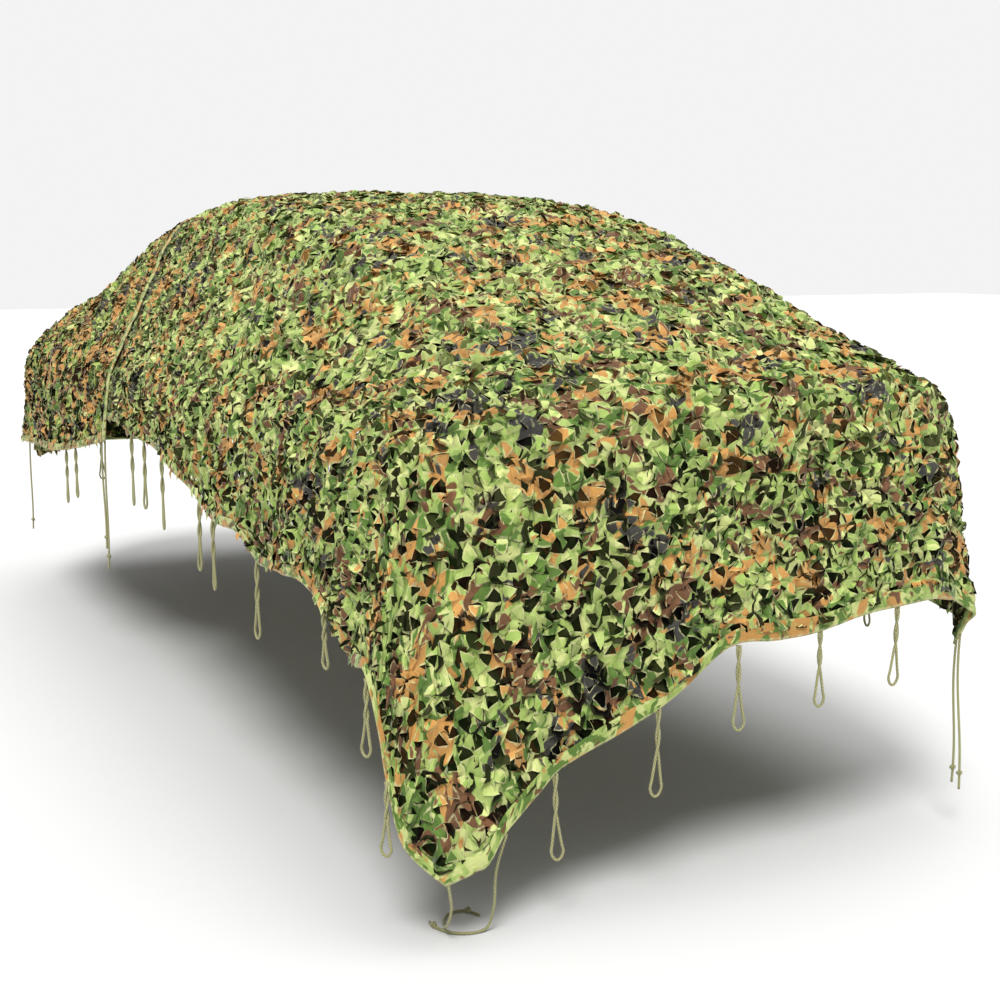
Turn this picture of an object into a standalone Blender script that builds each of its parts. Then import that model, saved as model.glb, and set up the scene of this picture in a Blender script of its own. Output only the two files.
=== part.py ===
"""Camouflage net draped as a cover: a rear panel, a front panel lapped over it, and the cords of their hems.

Metres, +Z up. X runs across the net, +Y towards its front. The origin lies under the crown, on the
inner face of the rear panel, where the roof carries the net. Heights in the tables are measured from
the ground and are turned into Z by level().
"""
import math
from collections import namedtuple

import bmesh
import bpy
import numpy as np
from mathutils import Vector
from mathutils.bvhtree import BVHTree

# Cloth and cord
SHEET = 0.003
CORD = 0.006
CROWN_HEIGHT = 1.500
SEAT_GAP = 0.0005
SEAT_RINGS = 3
SEAT_RAYS = 32
SEAT_REACH = 0.16
LAP_LIFT = 0.0081

# Grid of the whole covering: columns run across it, rows run along it
SKIRT_COLUMNS = 4
WINDOW_COLUMNS = 5
ROOF_COLUMNS = 8
COLUMNS = 2 * (SKIRT_COLUMNS + WINDOW_COLUMNS) + ROOF_COLUMNS
REAR_ROWS = 5
CAP_ROWS = 33
FRONT_ROWS = 4
ROWS = REAR_ROWS + CAP_ROWS + FRONT_ROWS
ROOF_SHARE = 0.5
REAR_EDGE = -1.83
FRONT_EDGE = 2.12
ROW_PITCH = (FRONT_EDGE - REAR_EDGE) / CAP_ROWS

# Rows where the two panels end
FRONT_PANEL_START = 23
REAR_PANEL_END = 25

# Plan shape: how far the edges bow back at their corners, how far the lap bows forward at the roof, and
# how much narrower the right half lies than the left
REAR_BOW = 0.20
FRONT_BOW = 0.30
BOW_REACH = 0.9
LAP_BOW = 0.46
LAP_CENTRE = 0.45
LAP_BEHIND = 0.85
LAP_AHEAD = 1.15
RIGHT_SHARE = 0.92
BOW_ALONG = 1.5
BOW_ACROSS = 4
LAP_FADE = 1.2

# Hang of the skirts, and easing of the grid so that the cloth has no hard corners except at its hems
SWING = 0.8
SMOOTHING_PASSES = 2
SMOOTHING_SHARE = 0.5

# How far the upper surface faces up, against how far its flanks face out
ROOF_FACING = 1.2

# Cross-sections along the net, by distance from the crown
Station = namedtuple("Station", "y crown roof_half roof_edge shoulder_half shoulder")
STATIONS = [
    Station(-1.84, 1.075, 0.46, 1.045, 0.66, 1.000),
    Station(-1.60, 1.130, 0.48, 1.105, 0.74, 0.995),
    Station(-1.30, 1.230, 0.50, 1.195, 0.79, 0.985),
    Station(-1.00, 1.345, 0.50, 1.305, 0.82, 0.975),
    Station(-0.70, 1.430, 0.50, 1.395, 0.84, 0.965),
    Station(-0.40, 1.480, 0.50, 1.445, 0.84, 0.960),
    Station(0.00, 1.500, 0.49, 1.465, 0.84, 0.955),
    Station(0.50, 1.500, 0.48, 1.465, 0.84, 0.950),
    Station(0.80, 1.470, 0.48, 1.430, 0.84, 0.950),
    Station(1.10, 1.360, 0.52, 1.320, 0.84, 0.950),
    Station(1.45, 1.210, 0.58, 1.175, 0.83, 0.950),
    Station(1.75, 1.140, 0.60, 1.115, 0.81, 0.945),
    Station(1.95, 1.100, 0.57, 1.075, 0.75, 0.930),
    Station(2.12, 1.050, 0.52, 1.020, 0.69, 0.900),
]

# Lower hems, by distance from the crown on the flanks and across the rear and front: height, how far
# out of the shoulder line they hang, and how far they slide along it
Hem = namedtuple("Hem", "at height out slide", defaults=(0.0,))
REAR_LEFT_HEM = [
    Hem(-1.62, 0.530, 0.100), Hem(-1.50, 0.620, 0.080), Hem(-1.38, 0.655, 0.055), Hem(-1.10, 0.635, 0.035),
    Hem(-1.00, 0.690, 0.030), Hem(-0.70, 0.690, 0.015), Hem(-0.60, 0.755, 0.015), Hem(-0.25, 0.800, 0.012),
    Hem(0.20, 0.825, 0.010), Hem(0.50, 0.820, 0.010),
]
REAR_RIGHT_HEM = [
    Hem(-1.62, 0.460, 0.060), Hem(-1.30, 0.500, 0.040), Hem(-1.00, 0.560, 0.030), Hem(-0.60, 0.650, 0.020),
    Hem(0.50, 0.700, 0.015),
]
FRONT_LEFT_HEM = [
    Hem(0.20, 0.770, 0.014), Hem(0.38, 0.750, 0.016), Hem(0.60, 0.705, 0.020), Hem(1.00, 0.650, 0.025),
    Hem(1.60, 0.610, 0.025), Hem(1.95, 0.585, 0.030),
]
FRONT_RIGHT_HEM = [Hem(0.20, 0.680, 0.020), Hem(1.00, 0.640, 0.025), Hem(1.95, 0.580, 0.060)]
REAR_HEM = [
    Hem(-0.73, 0.172, 0.220, 0.075), Hem(-0.66, 0.225, 0.138, 0.050), Hem(-0.60, 0.260, 0.087, 0.030),
    Hem(-0.51, 0.320, 0.039, 0.008), Hem(-0.46, 0.345, 0.030), Hem(-0.26, 0.437, 0.035),
    Hem(-0.18, 0.487, 0.040), Hem(-0.11, 0.545, 0.045), Hem(0.10, 0.545, 0.050),
    Hem(0.25, 0.572, 0.050), Hem(0.44, 0.583, 0.050),
    Hem(0.55, 0.560, 0.055, -0.015), Hem(0.67, 0.520, 0.185, -0.080),
]
FRONT_HEM = [
    Hem(-0.74, 0.540, 0.080), Hem(-0.40, 0.520, 0.070), Hem(0.40, 0.520, 0.070), Hem(0.74, 0.560, 0.080),
]

# The hanging corners: turn runs from 0 at the flank to 1 at the rear or front
Corner = namedtuple("Corner", "turn x y height")
REAR_LEFT_CORNER = [
    Corner(0.00, -0.860, -1.630, 0.560), Corner(0.13, -0.848, -1.735, 0.540),
    Corner(0.24, -0.836, -1.765, 0.430), Corner(0.34, -0.826, -1.785, 0.320),
    Corner(0.43, -0.805, -1.815, 0.210), Corner(0.50, -0.739, -1.860, 0.142),
    Corner(0.70, -0.690, -1.855, 0.155), Corner(1.00, -0.655, -1.850, 0.172),
]
REAR_RIGHT_CORNER = [
    Corner(0.00, 0.690, -1.610, 0.500), Corner(0.30, 0.660, -1.715, 0.475),
    Corner(0.50, 0.590, -1.750, 0.435), Corner(1.00, 0.580, -1.815, 0.525),
]
FRONT_LEFT_CORNER = [
    Corner(0.00, -0.770, 1.840, 0.585), Corner(0.50, -0.755, 1.930, 0.510),
    Corner(1.00, -0.690, 1.950, 0.540),
]
FRONT_RIGHT_CORNER = [
    Corner(0.00, 0.710, 1.840, 0.580), Corner(0.50, 0.700, 1.930, 0.540),
    Corner(1.00, 0.640, 1.950, 0.560),
]

# Soft ridges: each runs down a flank or an end, from its place at the roof to its place at the hem. They
# reach their full height early on the way down
FOLD_LENGTH = 0.9
FOLD_START = 1.6
Fold = namedtuple("Fold", "side top hem width height")
FOLDS = [
    Fold("left", -1.45, -1.35, 0.13, 0.022),
    Fold("left", -1.05, -0.90, 0.12, 0.016),
    Fold("left", -0.60, -0.45, 0.14, 0.024),
    Fold("left", -0.15, 0.02, 0.12, 0.018),
    Fold("left", 0.85, 0.60, 0.13, 0.026),
    Fold("left", 1.20, 1.15, 0.15, 0.020),
    Fold("left", 1.75, 1.80, 0.12, 0.018),
    Fold("right", -1.30, -1.20, 0.14, 0.020),
    Fold("right", -0.70, -0.55, 0.13, 0.022),
    Fold("right", 0.00, 0.10, 0.15, 0.016),
    Fold("right", 0.90, 0.95, 0.14, 0.022),
    Fold("right", 1.60, 1.65, 0.13, 0.018),
    Fold("rear", -0.52, -0.62, 0.11, 0.022),
    Fold("rear", -0.20, -0.30, 0.12, 0.014),
    Fold("rear", 0.12, -0.02, 0.10, 0.018),
    Fold("rear", 0.48, 0.55, 0.12, 0.020),
    Fold("front", -0.40, -0.45, 0.12, 0.018),
    Fold("front", 0.10, 0.15, 0.14, 0.020),
    Fold("front", 0.50, 0.55, 0.12, 0.018),
]
Peak = namedtuple("Peak", "x y radius height")
PEAKS = [
    Peak(-0.42, 0.18, 0.16, 0.016), Peak(0.02, -0.72, 0.16, 0.018), Peak(0.20, -1.25, 0.20, 0.016),
    Peak(-0.25, -0.35, 0.20, -0.012), Peak(0.30, 0.60, 0.22, 0.014), Peak(-0.30, 1.70, 0.20, 0.014),
]

# Gaps cut through, on every second cell where the net is stretched widest, and the least inner radius of
# the three-cornered half cell that takes one
GAP_MARGIN = 0.014
GAP_CELL_RADIUS = 0.024
GapZone = namedtuple("GapZone", "first_column last_column first_row last_row")
REAR_GAPS = [GapZone(1, 24, 1, 14), GapZone(1, 10, 15, 21)]
FRONT_GAPS = [GapZone(1, 9, 27, 41)]

# Ties at the hems: step is the place along the hem, in rows or columns of the grid
Tie = namedtuple("Tie", "name panel edge step drop lean")
LOOPS = [
    Tie("tie_rear_1", "rear", "rear", 8.0, 0.180, 0.006),
    Tie("tie_rear_2", "rear", "rear", 10.6, 0.185, -0.004),
    Tie("tie_rear_3", "rear", "rear", 12.2, 0.180, 0.004),
    Tie("tie_rear_4", "rear", "rear", 14.1, 0.165, 0.003),
    Tie("tie_rear_5", "rear", "rear", 16.1, 0.175, -0.005),
    Tie("tie_left_1", "rear", "left", 2.2, 0.150, 0.004),
    Tie("tie_left_2", "rear", "left", 3.9, 0.155, 0.003),
    Tie("tie_left_3", "rear", "left", 6.6, 0.120, -0.004),
    Tie("tie_left_4", "rear", "left", 11.1, 0.185, 0.004),
    Tie("tie_left_5", "rear", "left", 13.8, 0.175, -0.006),
    Tie("tie_left_6", "rear", "left", 14.7, 0.180, 0.008),
    Tie("tie_left_7", "rear", "left", 17.6, 0.200, -0.005),
    Tie("tie_left_8", "rear", "left", 19.2, 0.190, 0.005),
    Tie("tie_left_9", "rear", "left", 20.1, 0.200, -0.003),
    Tie("tie_left_10", "front", "left", 25.7, 0.160, -0.004),
    Tie("tie_left_11", "front", "left", 27.6, 0.180, 0.004),
    Tie("tie_right_1", "rear", "right", 9.5, 0.170, -0.005),
    Tie("tie_right_2", "rear", "right", 13.5, 0.180, 0.005),
    Tie("tie_right_3", "rear", "right", 18.5, 0.170, -0.004),
    Tie("tie_right_4", "front", "right", 26.5, 0.190, 0.004),
    Tie("tie_right_5", "front", "right", 31.5, 0.170, -0.004),
    Tie("tie_front_1", "front", "front", 9.5, 0.170, 0.004),
    Tie("tie_front_2", "front", "front", 16.5, 0.170, -0.004),
]
# A loop's two strands: half the space between them, as a multiple of the neck, by share of the drop
LOOP_NECK = 0.0043
LOOP_SHAPE = [(0.97, 0.55), (2.27, 0.80), (3.02, 0.90), (1.81, 0.975)]

# Tails: single cords with free ends that hang from the corners
TAILS = [
    Tie("tail_rear_right_1", "rear", "rear", 24.2, 0.360, -0.030),
    Tie("tail_rear_right_2", "rear", "rear", 25.2, 0.335, -0.010),
    Tie("tail_lap_left_1", "front", "left", 23.08, 0.400, 0.012),
    Tie("tail_lap_left_2", "front", "left", 23.40, 0.330, -0.012),
    Tie("tail_front_left_1", "front", "left", 35.5, 0.340, 0.012),
    Tie("tail_front_right_1", "front", "right", 35.5, 0.340, 0.012),
]
TAIL_POINTS = 9
TAIL_SWAY = 0.006
TAIL_CURVE = 1.5

# The two tails of the low corner reach the ground and lie on it: places x and y, and height above it
LowTail = namedtuple("LowTail", "name step places")
LOW_TAILS = [
    LowTail("tail_rear_left_1", 0.3, [
        (-0.722, -1.845, 0.085), (-0.714, -1.812, 0.040), (-0.700, -1.765, 0.010), (-0.680, -1.722, 0.0042),
        (-0.656, -1.700, 0.0042), (-0.625, -1.703, 0.0042), (-0.608, -1.735, 0.0042),
    ]),
    LowTail("tail_rear_left_2", 5.0, [
        (-0.622, -1.838, 0.140), (-0.620, -1.826, 0.070), (-0.622, -1.806, 0.016), (-0.640, -1.803, 0.0042),
        (-0.668, -1.799, 0.0042), (-0.695, -1.780, 0.0042), (-0.711, -1.745, 0.0042),
        (-0.712, -1.718, 0.0042),
    ]),
]

# Colours and finish
REAR_COLOUR = (0.22, 0.30, 0.11, 1.0)
FRONT_COLOUR = (0.27, 0.29, 0.11, 1.0)
CORD_COLOUR = (0.40, 0.38, 0.20, 1.0)
ROUGHNESS = 0.8


def level(height):
    """Z of a height above the ground."""
    return height - (CROWN_HEIGHT - SHEET / 2)


def mix(a, b, share):
    return a + (b - a) * share


def read(table, at):
    """The row of a table at a place, each column in a straight line between its neighbours."""
    if at <= table[0][0]:
        return table[0]
    for low, high in zip(table, table[1:]):
        if at <= high[0]:
            share = (at - low[0]) / (high[0] - low[0])
            return type(low)(*(mix(a, b, share) for a, b in zip(low, high)))
    return table[-1]


def bell(distance, width):
    return math.exp(-((distance / width) ** 2))


def across(column):
    """Place across the cap, from -1 at the left shoulder to 1 at the right, and share of skirt passed."""
    middle = COLUMNS / 2
    off = abs(column - middle)
    side = -1 if column < middle else 1
    half_roof = ROOF_COLUMNS / 2
    if off <= half_roof:
        place = ROOF_SHARE * off / half_roof
    else:
        place = ROOF_SHARE + (1 - ROOF_SHARE) * min(1, (off - half_roof) / WINDOW_COLUMNS)
    skirt = max(0, off - half_roof - WINDOW_COLUMNS) / SKIRT_COLUMNS
    return side * place, skirt, side


def along(row):
    """Distance of a row along the cap, and share of the rear or front skirt passed."""
    if row < REAR_ROWS:
        return REAR_EDGE, (REAR_ROWS - row) / REAR_ROWS, -1
    if row > REAR_ROWS + CAP_ROWS:
        return FRONT_EDGE, (row - REAR_ROWS - CAP_ROWS) / FRONT_ROWS, 1
    return REAR_EDGE + (row - REAR_ROWS) * ROW_PITCH, 0, 0


def cap(place, run):
    """A point of the upper surface: roof, windows and lids as the net bridges them."""
    from_rear = max(0, 1 - (run - REAR_EDGE) / BOW_REACH)
    from_front = max(0, 1 - (FRONT_EDGE - run) / BOW_REACH)
    bow = REAR_BOW * from_rear ** BOW_ALONG - FRONT_BOW * from_front ** BOW_ALONG
    lap_width = LAP_BEHIND if run < LAP_CENTRE else LAP_AHEAD
    side_share = max(0, (abs(place) - ROOF_SHARE) / (1 - ROOF_SHARE))
    sweep = LAP_BOW * bell(run - LAP_CENTRE, lap_width) * (1 - side_share) ** LAP_FADE
    y = run + bow * abs(place) ** BOW_ACROSS + sweep
    station = read(STATIONS, y)
    if abs(place) <= ROOF_SHARE:
        share = place / ROOF_SHARE
        x = station.roof_half * share
        height = mix(station.crown, station.roof_edge, share * share)
    else:
        x = math.copysign(mix(station.roof_half, station.shoulder_half, side_share), place)
        height = mix(station.roof_edge, station.shoulder, side_share)
    return Vector((x * RIGHT_SHARE if x > 0 else x, y, height))


def hang(post, foot, passed):
    """A point on the skirt between its shoulder post and its hem foot: it swings out, then falls."""
    swing = passed ** SWING
    return Vector((mix(post.x, foot.x, swing), mix(post.y, foot.y, swing), mix(post.z, foot.z, passed)))


def fold_lift(point, skirt, end_skirt, side, end):
    """How far the folds and peaks push the cloth outwards at a point."""
    lift = 0.0
    reach = max(skirt, end_skirt)
    edges = {"left": side < 0, "right": side > 0, "rear": end < 0, "front": end > 0}
    depth = min(1, max(0, (CROWN_HEIGHT - point.z) / FOLD_LENGTH))
    for fold in FOLDS:
        if not edges[fold.side]:
            continue
        along_end = fold.side in ("rear", "front")
        if along_end and end_skirt == 0:
            continue
        here = point.x if along_end else point.y
        centre = mix(fold.top, fold.hem, depth)
        strength = (1 + reach) / 2 if along_end else min(1, depth * FOLD_START)
        lift += fold.height * strength * bell(here - centre, fold.width)
    for peak in PEAKS:
        if reach == 0:
            lift += peak.height * bell(math.hypot(point.x - peak.x, point.y - peak.y), peak.radius)
    return lift


Hems = namedtuple("Hems", "left right rear front rear_left rear_right front_left front_right")
REAR_PANEL_HEMS = Hems(REAR_LEFT_HEM, REAR_RIGHT_HEM, REAR_HEM, FRONT_HEM, REAR_LEFT_CORNER,
                       REAR_RIGHT_CORNER, FRONT_LEFT_CORNER, FRONT_RIGHT_CORNER)
FRONT_PANEL_HEMS = REAR_PANEL_HEMS._replace(left=FRONT_LEFT_HEM, right=FRONT_RIGHT_HEM)


def grid_point(column, row, hems):
    """One grid point of the hanging net, and which way is outwards there."""
    place, skirt, side = across(column)
    run, end_skirt, end = along(row)
    top = cap(place, run)
    if skirt and end_skirt:
        if end < 0:
            table = hems.rear_left if side < 0 else hems.rear_right
        else:
            table = hems.front_left if side < 0 else hems.front_right
        turn = math.atan2(end_skirt, skirt) / (math.pi / 2)
        corner = read(table, turn)
        point = hang(top, Vector((corner.x, corner.y, corner.height)), max(skirt, end_skirt))
        angle = turn * math.pi / 2
        outward = Vector((side * math.cos(angle), end * math.sin(angle), 0))
    elif skirt:
        hem = read(hems.left if side < 0 else hems.right, top.y)
        foot = Vector((top.x + side * hem.out, top.y + hem.slide, hem.height))
        point = hang(top, foot, skirt)
        outward = Vector((side, 0, 0))
    elif end_skirt:
        hem = read(hems.rear if end < 0 else hems.front, top.x)
        foot = Vector((top.x + hem.slide, top.y + end * hem.out, hem.height))
        point = hang(top, foot, end_skirt)
        outward = Vector((0, end, 0))
    else:
        point = top
        lean = max(0, (abs(place) - ROOF_SHARE) / (1 - ROOF_SHARE))
        outward = Vector((side * lean, 0, ROOF_FACING - lean)).normalized()
    return point + outward * fold_lift(point, skirt, end_skirt, side, end)


def net_grid(hems):
    """All grid points, eased."""
    points = np.array([[tuple(grid_point(column, row, hems)) for column in range(COLUMNS + 1)]
                       for row in range(ROWS + 1)])
    for _ in range(SMOOTHING_PASSES):
        inner = (points[:-2, 1:-1] + points[2:, 1:-1] + points[1:-1, :-2] + points[1:-1, 2:]) / 4
        points[1:-1, 1:-1] = mix(points[1:-1, 1:-1], inner, SMOOTHING_SHARE)
    return points


def outward_normals(points):
    """Unit normals of the grid, pointing away from the hollow."""
    over = np.gradient(points, axis=1)
    forward = np.gradient(points, axis=0)
    normals = np.cross(over, forward)
    return normals / np.linalg.norm(normals, axis=2, keepdims=True)


def inner_radius(face):
    return 2 * face.calc_area() / face.calc_perimeter()


def cut_gaps(bm, cells, zones):
    """Open a three-cornered gap in every second cell of the zones."""
    for zone in zones:
        for row in range(zone.first_row, zone.last_row + 1):
            for column in range(zone.first_column, zone.last_column + 1):
                if (row + column) % 2 or (column, row) not in cells:
                    continue
                face = cells[column, row]
                start = (row // 2 + column) % 2
                corners = face.verts[:]
                half, _ = bmesh.utils.face_split(face, corners[start], corners[start + 2])
                if inner_radius(half) < GAP_CELL_RADIUS:
                    continue
                bmesh.ops.inset_individual(bm, faces=[half], thickness=GAP_MARGIN, use_even_offset=True)
                bmesh.ops.delete(bm, geom=[half], context="FACES_ONLY")


def matt_material(name, colour):
    material = bpy.data.materials.new(name)
    material.use_nodes = True
    shader = material.node_tree.nodes["Principled BSDF"]
    shader.inputs["Base Color"].default_value = colour
    shader.inputs["Roughness"].default_value = ROUGHNESS
    shader.inputs["Metallic"].default_value = 0
    return material


def build_panel(name, collection, points, end_rows, zones, material):
    """A panel: the grid between two rows, with its gaps, made a closed sheet."""
    bm = bmesh.new()
    first_row = end_rows[0]
    rows = end_rows[1] - first_row
    bmesh.ops.create_grid(bm, x_segments=COLUMNS, y_segments=rows, size=1)
    ordered = sorted(bm.verts, key=lambda vert: (round(vert.co.y, 5), round(vert.co.x, 5)))
    index_of = {vert: index for index, vert in enumerate(ordered)}
    cells = {}
    for face in bm.faces:
        lowest = min(index_of[vert] for vert in face.verts)
        cells[lowest % (COLUMNS + 1), first_row + lowest // (COLUMNS + 1)] = face
    for index, vert in enumerate(ordered):
        vert.co = points[first_row + index // (COLUMNS + 1), index % (COLUMNS + 1)]
    cut_gaps(bm, cells, zones)
    bmesh.ops.triangulate(bm, faces=bm.faces[:])
    mesh = bpy.data.meshes.new(name)
    bm.to_mesh(mesh)
    bm.free()
    mesh.materials.append(material)
    sheet = bpy.data.objects.new(name, mesh)
    collection.objects.link(sheet)
    for face in mesh.polygons:
        face.use_smooth = True
    thick = sheet.modifiers.new("cloth", "SOLIDIFY")
    thick.thickness = SHEET
    thick.offset = 0
    return sheet


def place_in_frame(points):
    """Grid points with their heights turned into Z."""
    placed = points.copy()
    placed[:, :, 2] = level(placed[:, :, 2])
    return placed


def hem_spot(points, edge, step):
    """A point on a hem, and the level direction along it."""
    low = int(step)
    line = {
        "rear": points[0, :],
        "front": points[ROWS, :],
        "left": points[:, 0],
        "right": points[:, COLUMNS],
    }[edge]
    start, end = Vector(line[low]), Vector(line[low + 1])
    run = end - start
    return start.lerp(end, step - low), Vector((run.x, run.y, 0)).normalized()


def seat(tree, spot):
    """The spot's place just under the hem above it, clear all round a cord's section."""
    found = []
    for ring in range(SEAT_RINGS + 1):
        for turn in range(SEAT_RAYS):
            radius = (CORD / 2 + SEAT_GAP) * ring / SEAT_RINGS
            angle = turn * 2 * math.pi / SEAT_RAYS
            below = Vector((radius * math.cos(angle), radius * math.sin(angle), -SEAT_REACH / 2))
            hit = tree.ray_cast(spot + below, Vector((0, 0, 1)), SEAT_REACH)
            if hit[0] is not None:
                found.append(hit[0].z)
    return Vector((spot.x, spot.y, min(found) - SEAT_GAP))


def smooth_route(points, steps):
    """A smooth curve through the points, with a few steps from each to the next."""
    padded = [2 * points[0] - points[1], *points, 2 * points[-1] - points[-2]]
    route = []
    for before, start, end, after in zip(padded, padded[1:], padded[2:], padded[3:]):
        for step in range(steps):
            share = step / steps
            bend = 2 * before - 5 * start + 4 * end - after
            twist = 3 * start - before - 3 * end + after
            route.append(start + ((end - before) * share + bend * share ** 2 + twist * share ** 3) / 2)
    return [*route, points[-1]]


def cord_tube(name, collection, route, material):
    """A cord as a tube along its route."""
    curve = bpy.data.curves.new(name, "CURVE")
    curve.dimensions = "3D"
    curve.bevel_depth = CORD / 2
    curve.bevel_resolution = 2
    curve.use_fill_caps = True
    spline = curve.splines.new("POLY")
    spline.points.add(len(route) - 1)
    for point, place in zip(spline.points, route):
        point.co = (*place, 1)
    curve.materials.append(material)
    cord = bpy.data.objects.new(name, curve)
    collection.objects.link(cord)


def loop_route(left_top, right_top, tie, over):
    """A hanging loop: two strands close together that open into a small bulb."""
    middle = (left_top + right_top) / 2
    foot = min(left_top.z, right_top.z)

    def at(sideways, depth):
        spot = middle + over * (sideways * LOOP_NECK + tie.lean * depth * depth)
        return Vector((spot.x, spot.y, foot - tie.drop * depth))

    down = [at(-wide, depth) for wide, depth in LOOP_SHAPE]
    up = [at(wide, depth) for wide, depth in reversed(LOOP_SHAPE)]
    return [left_top, *down, at(0, 1), *up, right_top]


def tail_route(top, tie, over):
    """A single hanging cord that leans and sways a little."""
    route = []
    for index in range(TAIL_POINTS):
        depth = index / (TAIL_POINTS - 1)
        aside = tie.lean * depth ** TAIL_CURVE + TAIL_SWAY * math.sin(2 * math.pi * depth)
        route.append(top + over * aside - Vector((0, 0, tie.drop * depth)))
    return route


def build_cords(collection, sheets, grids, material):
    """The loops and tails, each seated under its hem."""
    graph = bpy.context.evaluated_depsgraph_get()
    trees = {panel: BVHTree.FromObject(sheet, graph) for panel, sheet in sheets.items()}
    for tie in LOOPS:
        middle, over = hem_spot(grids[tie.panel], tie.edge, tie.step)
        tops = [seat(trees[tie.panel], middle + over * side * LOOP_NECK) for side in (-1, 1)]
        cord_tube(tie.name, collection, loop_route(*tops, tie, over), material)
    for tie in TAILS:
        middle, over = hem_spot(grids[tie.panel], tie.edge, tie.step)
        cord_tube(tie.name, collection, tail_route(seat(trees[tie.panel], middle), tie, over), material)
    for tail in LOW_TAILS:
        middle, _ = hem_spot(grids["rear"], "rear", tail.step)
        places = [Vector((x, y, level(height))) for x, y, height in tail.places]
        route = smooth_route([seat(trees["rear"], middle), *places], 2)
        cord_tube(tail.name, collection, route, material)


def clear_scene():
    for thing in list(bpy.data.objects):
        bpy.data.objects.remove(thing, do_unlink=True)


def main():
    clear_scene()
    collection = bpy.data.collections.new("camouflage_net")
    bpy.context.scene.collection.children.link(collection)
    rear = place_in_frame(net_grid(REAR_PANEL_HEMS))
    front = net_grid(FRONT_PANEL_HEMS)
    front = place_in_frame(front + outward_normals(front) * LAP_LIFT)
    rear_cloth = matt_material("rear_cloth", REAR_COLOUR)
    front_cloth = matt_material("front_cloth", FRONT_COLOUR)
    cord = matt_material("cord", CORD_COLOUR)
    rear_rows, front_rows = (0, REAR_PANEL_END), (FRONT_PANEL_START, ROWS)
    sheets = {
        "rear": build_panel("rear_panel", collection, rear, rear_rows, REAR_GAPS, rear_cloth),
        "front": build_panel("front_panel", collection, front, front_rows, FRONT_GAPS, front_cloth),
    }
    bpy.context.view_layer.update()
    build_cords(collection, sheets, {"rear": rear, "front": front}, cord)


main()
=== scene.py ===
"""Dress the draped camouflage net: leaf-cut cloth, hems, backing strings, ties, and a plain studio.

Metres, +Z up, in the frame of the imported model. X runs across the net, +Y towards its front, and the
origin lies under the crown. Run as a script; the operators can be pressed again from the sidebar.
"""
import math
from collections import namedtuple

import bpy
import numpy as np
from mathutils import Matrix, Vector


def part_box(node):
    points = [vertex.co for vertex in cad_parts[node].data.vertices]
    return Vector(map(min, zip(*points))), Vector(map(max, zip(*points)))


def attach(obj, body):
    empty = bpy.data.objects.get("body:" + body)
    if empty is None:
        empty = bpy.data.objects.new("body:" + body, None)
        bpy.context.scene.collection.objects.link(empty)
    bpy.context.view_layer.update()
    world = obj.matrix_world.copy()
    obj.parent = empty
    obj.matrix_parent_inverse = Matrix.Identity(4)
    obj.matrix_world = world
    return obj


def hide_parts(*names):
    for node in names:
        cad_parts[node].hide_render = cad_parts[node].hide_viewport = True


bl_info = {
    "name": "Camouflage Net",
    "version": (1, 0, 0),
    "blender": (4, 5, 0),
    "location": "View3D > Sidebar > Net",
    "description": "Builds a draped, leaf-cut camouflage net with its hems, strings and ties",
    "category": "Object",
}

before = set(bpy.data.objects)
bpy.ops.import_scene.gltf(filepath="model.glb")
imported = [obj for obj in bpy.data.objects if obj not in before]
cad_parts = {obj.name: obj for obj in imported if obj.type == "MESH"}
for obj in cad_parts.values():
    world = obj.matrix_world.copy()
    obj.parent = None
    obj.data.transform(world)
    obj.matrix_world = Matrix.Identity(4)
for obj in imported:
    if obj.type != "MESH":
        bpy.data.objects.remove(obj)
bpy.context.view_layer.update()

# Cloth and cord
SHEET = 0.003
CORD = 0.006
CROWN_HEIGHT = 1.500
LAP_LIFT = 0.0081

# Grid of the whole covering: columns run across it, rows run along it
SKIRT_COLUMNS = 4
SLOPE_COLUMNS = 5
CROWN_COLUMNS = 8
COLUMNS = 2 * (SKIRT_COLUMNS + SLOPE_COLUMNS) + CROWN_COLUMNS
REAR_ROWS = 5
CAP_ROWS = 33
FRONT_ROWS = 4
ROWS = REAR_ROWS + CAP_ROWS + FRONT_ROWS
CROWN_SHARE = 0.5
REAR_EDGE = -1.83
FRONT_EDGE = 2.12
ROW_PITCH = (FRONT_EDGE - REAR_EDGE) / CAP_ROWS

# Rows where the two panels end
FRONT_PANEL_START = 23
REAR_PANEL_END = 25

# Plan shape: how far the edges bow back at their corners, how far the lap bows forward at the crown, and
# how much narrower the right half lies than the left
REAR_BOW = 0.20
FRONT_BOW = 0.30
BOW_REACH = 0.9
LAP_BOW = 0.46
LAP_CENTRE = 0.45
LAP_BEHIND = 0.85
LAP_AHEAD = 1.15
RIGHT_SHARE = 0.92
BOW_ALONG = 1.5
BOW_ACROSS = 4
LAP_FADE = 1.2

# Hang of the skirts, and easing of the grid so that the cloth has no hard corners except at its hems
SWING = 0.8
SMOOTHING_PASSES = 2
SMOOTHING_SHARE = 0.5

# How far the upper surface faces up, against how far its flanks face out
CROWN_FACING = 1.2

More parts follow.
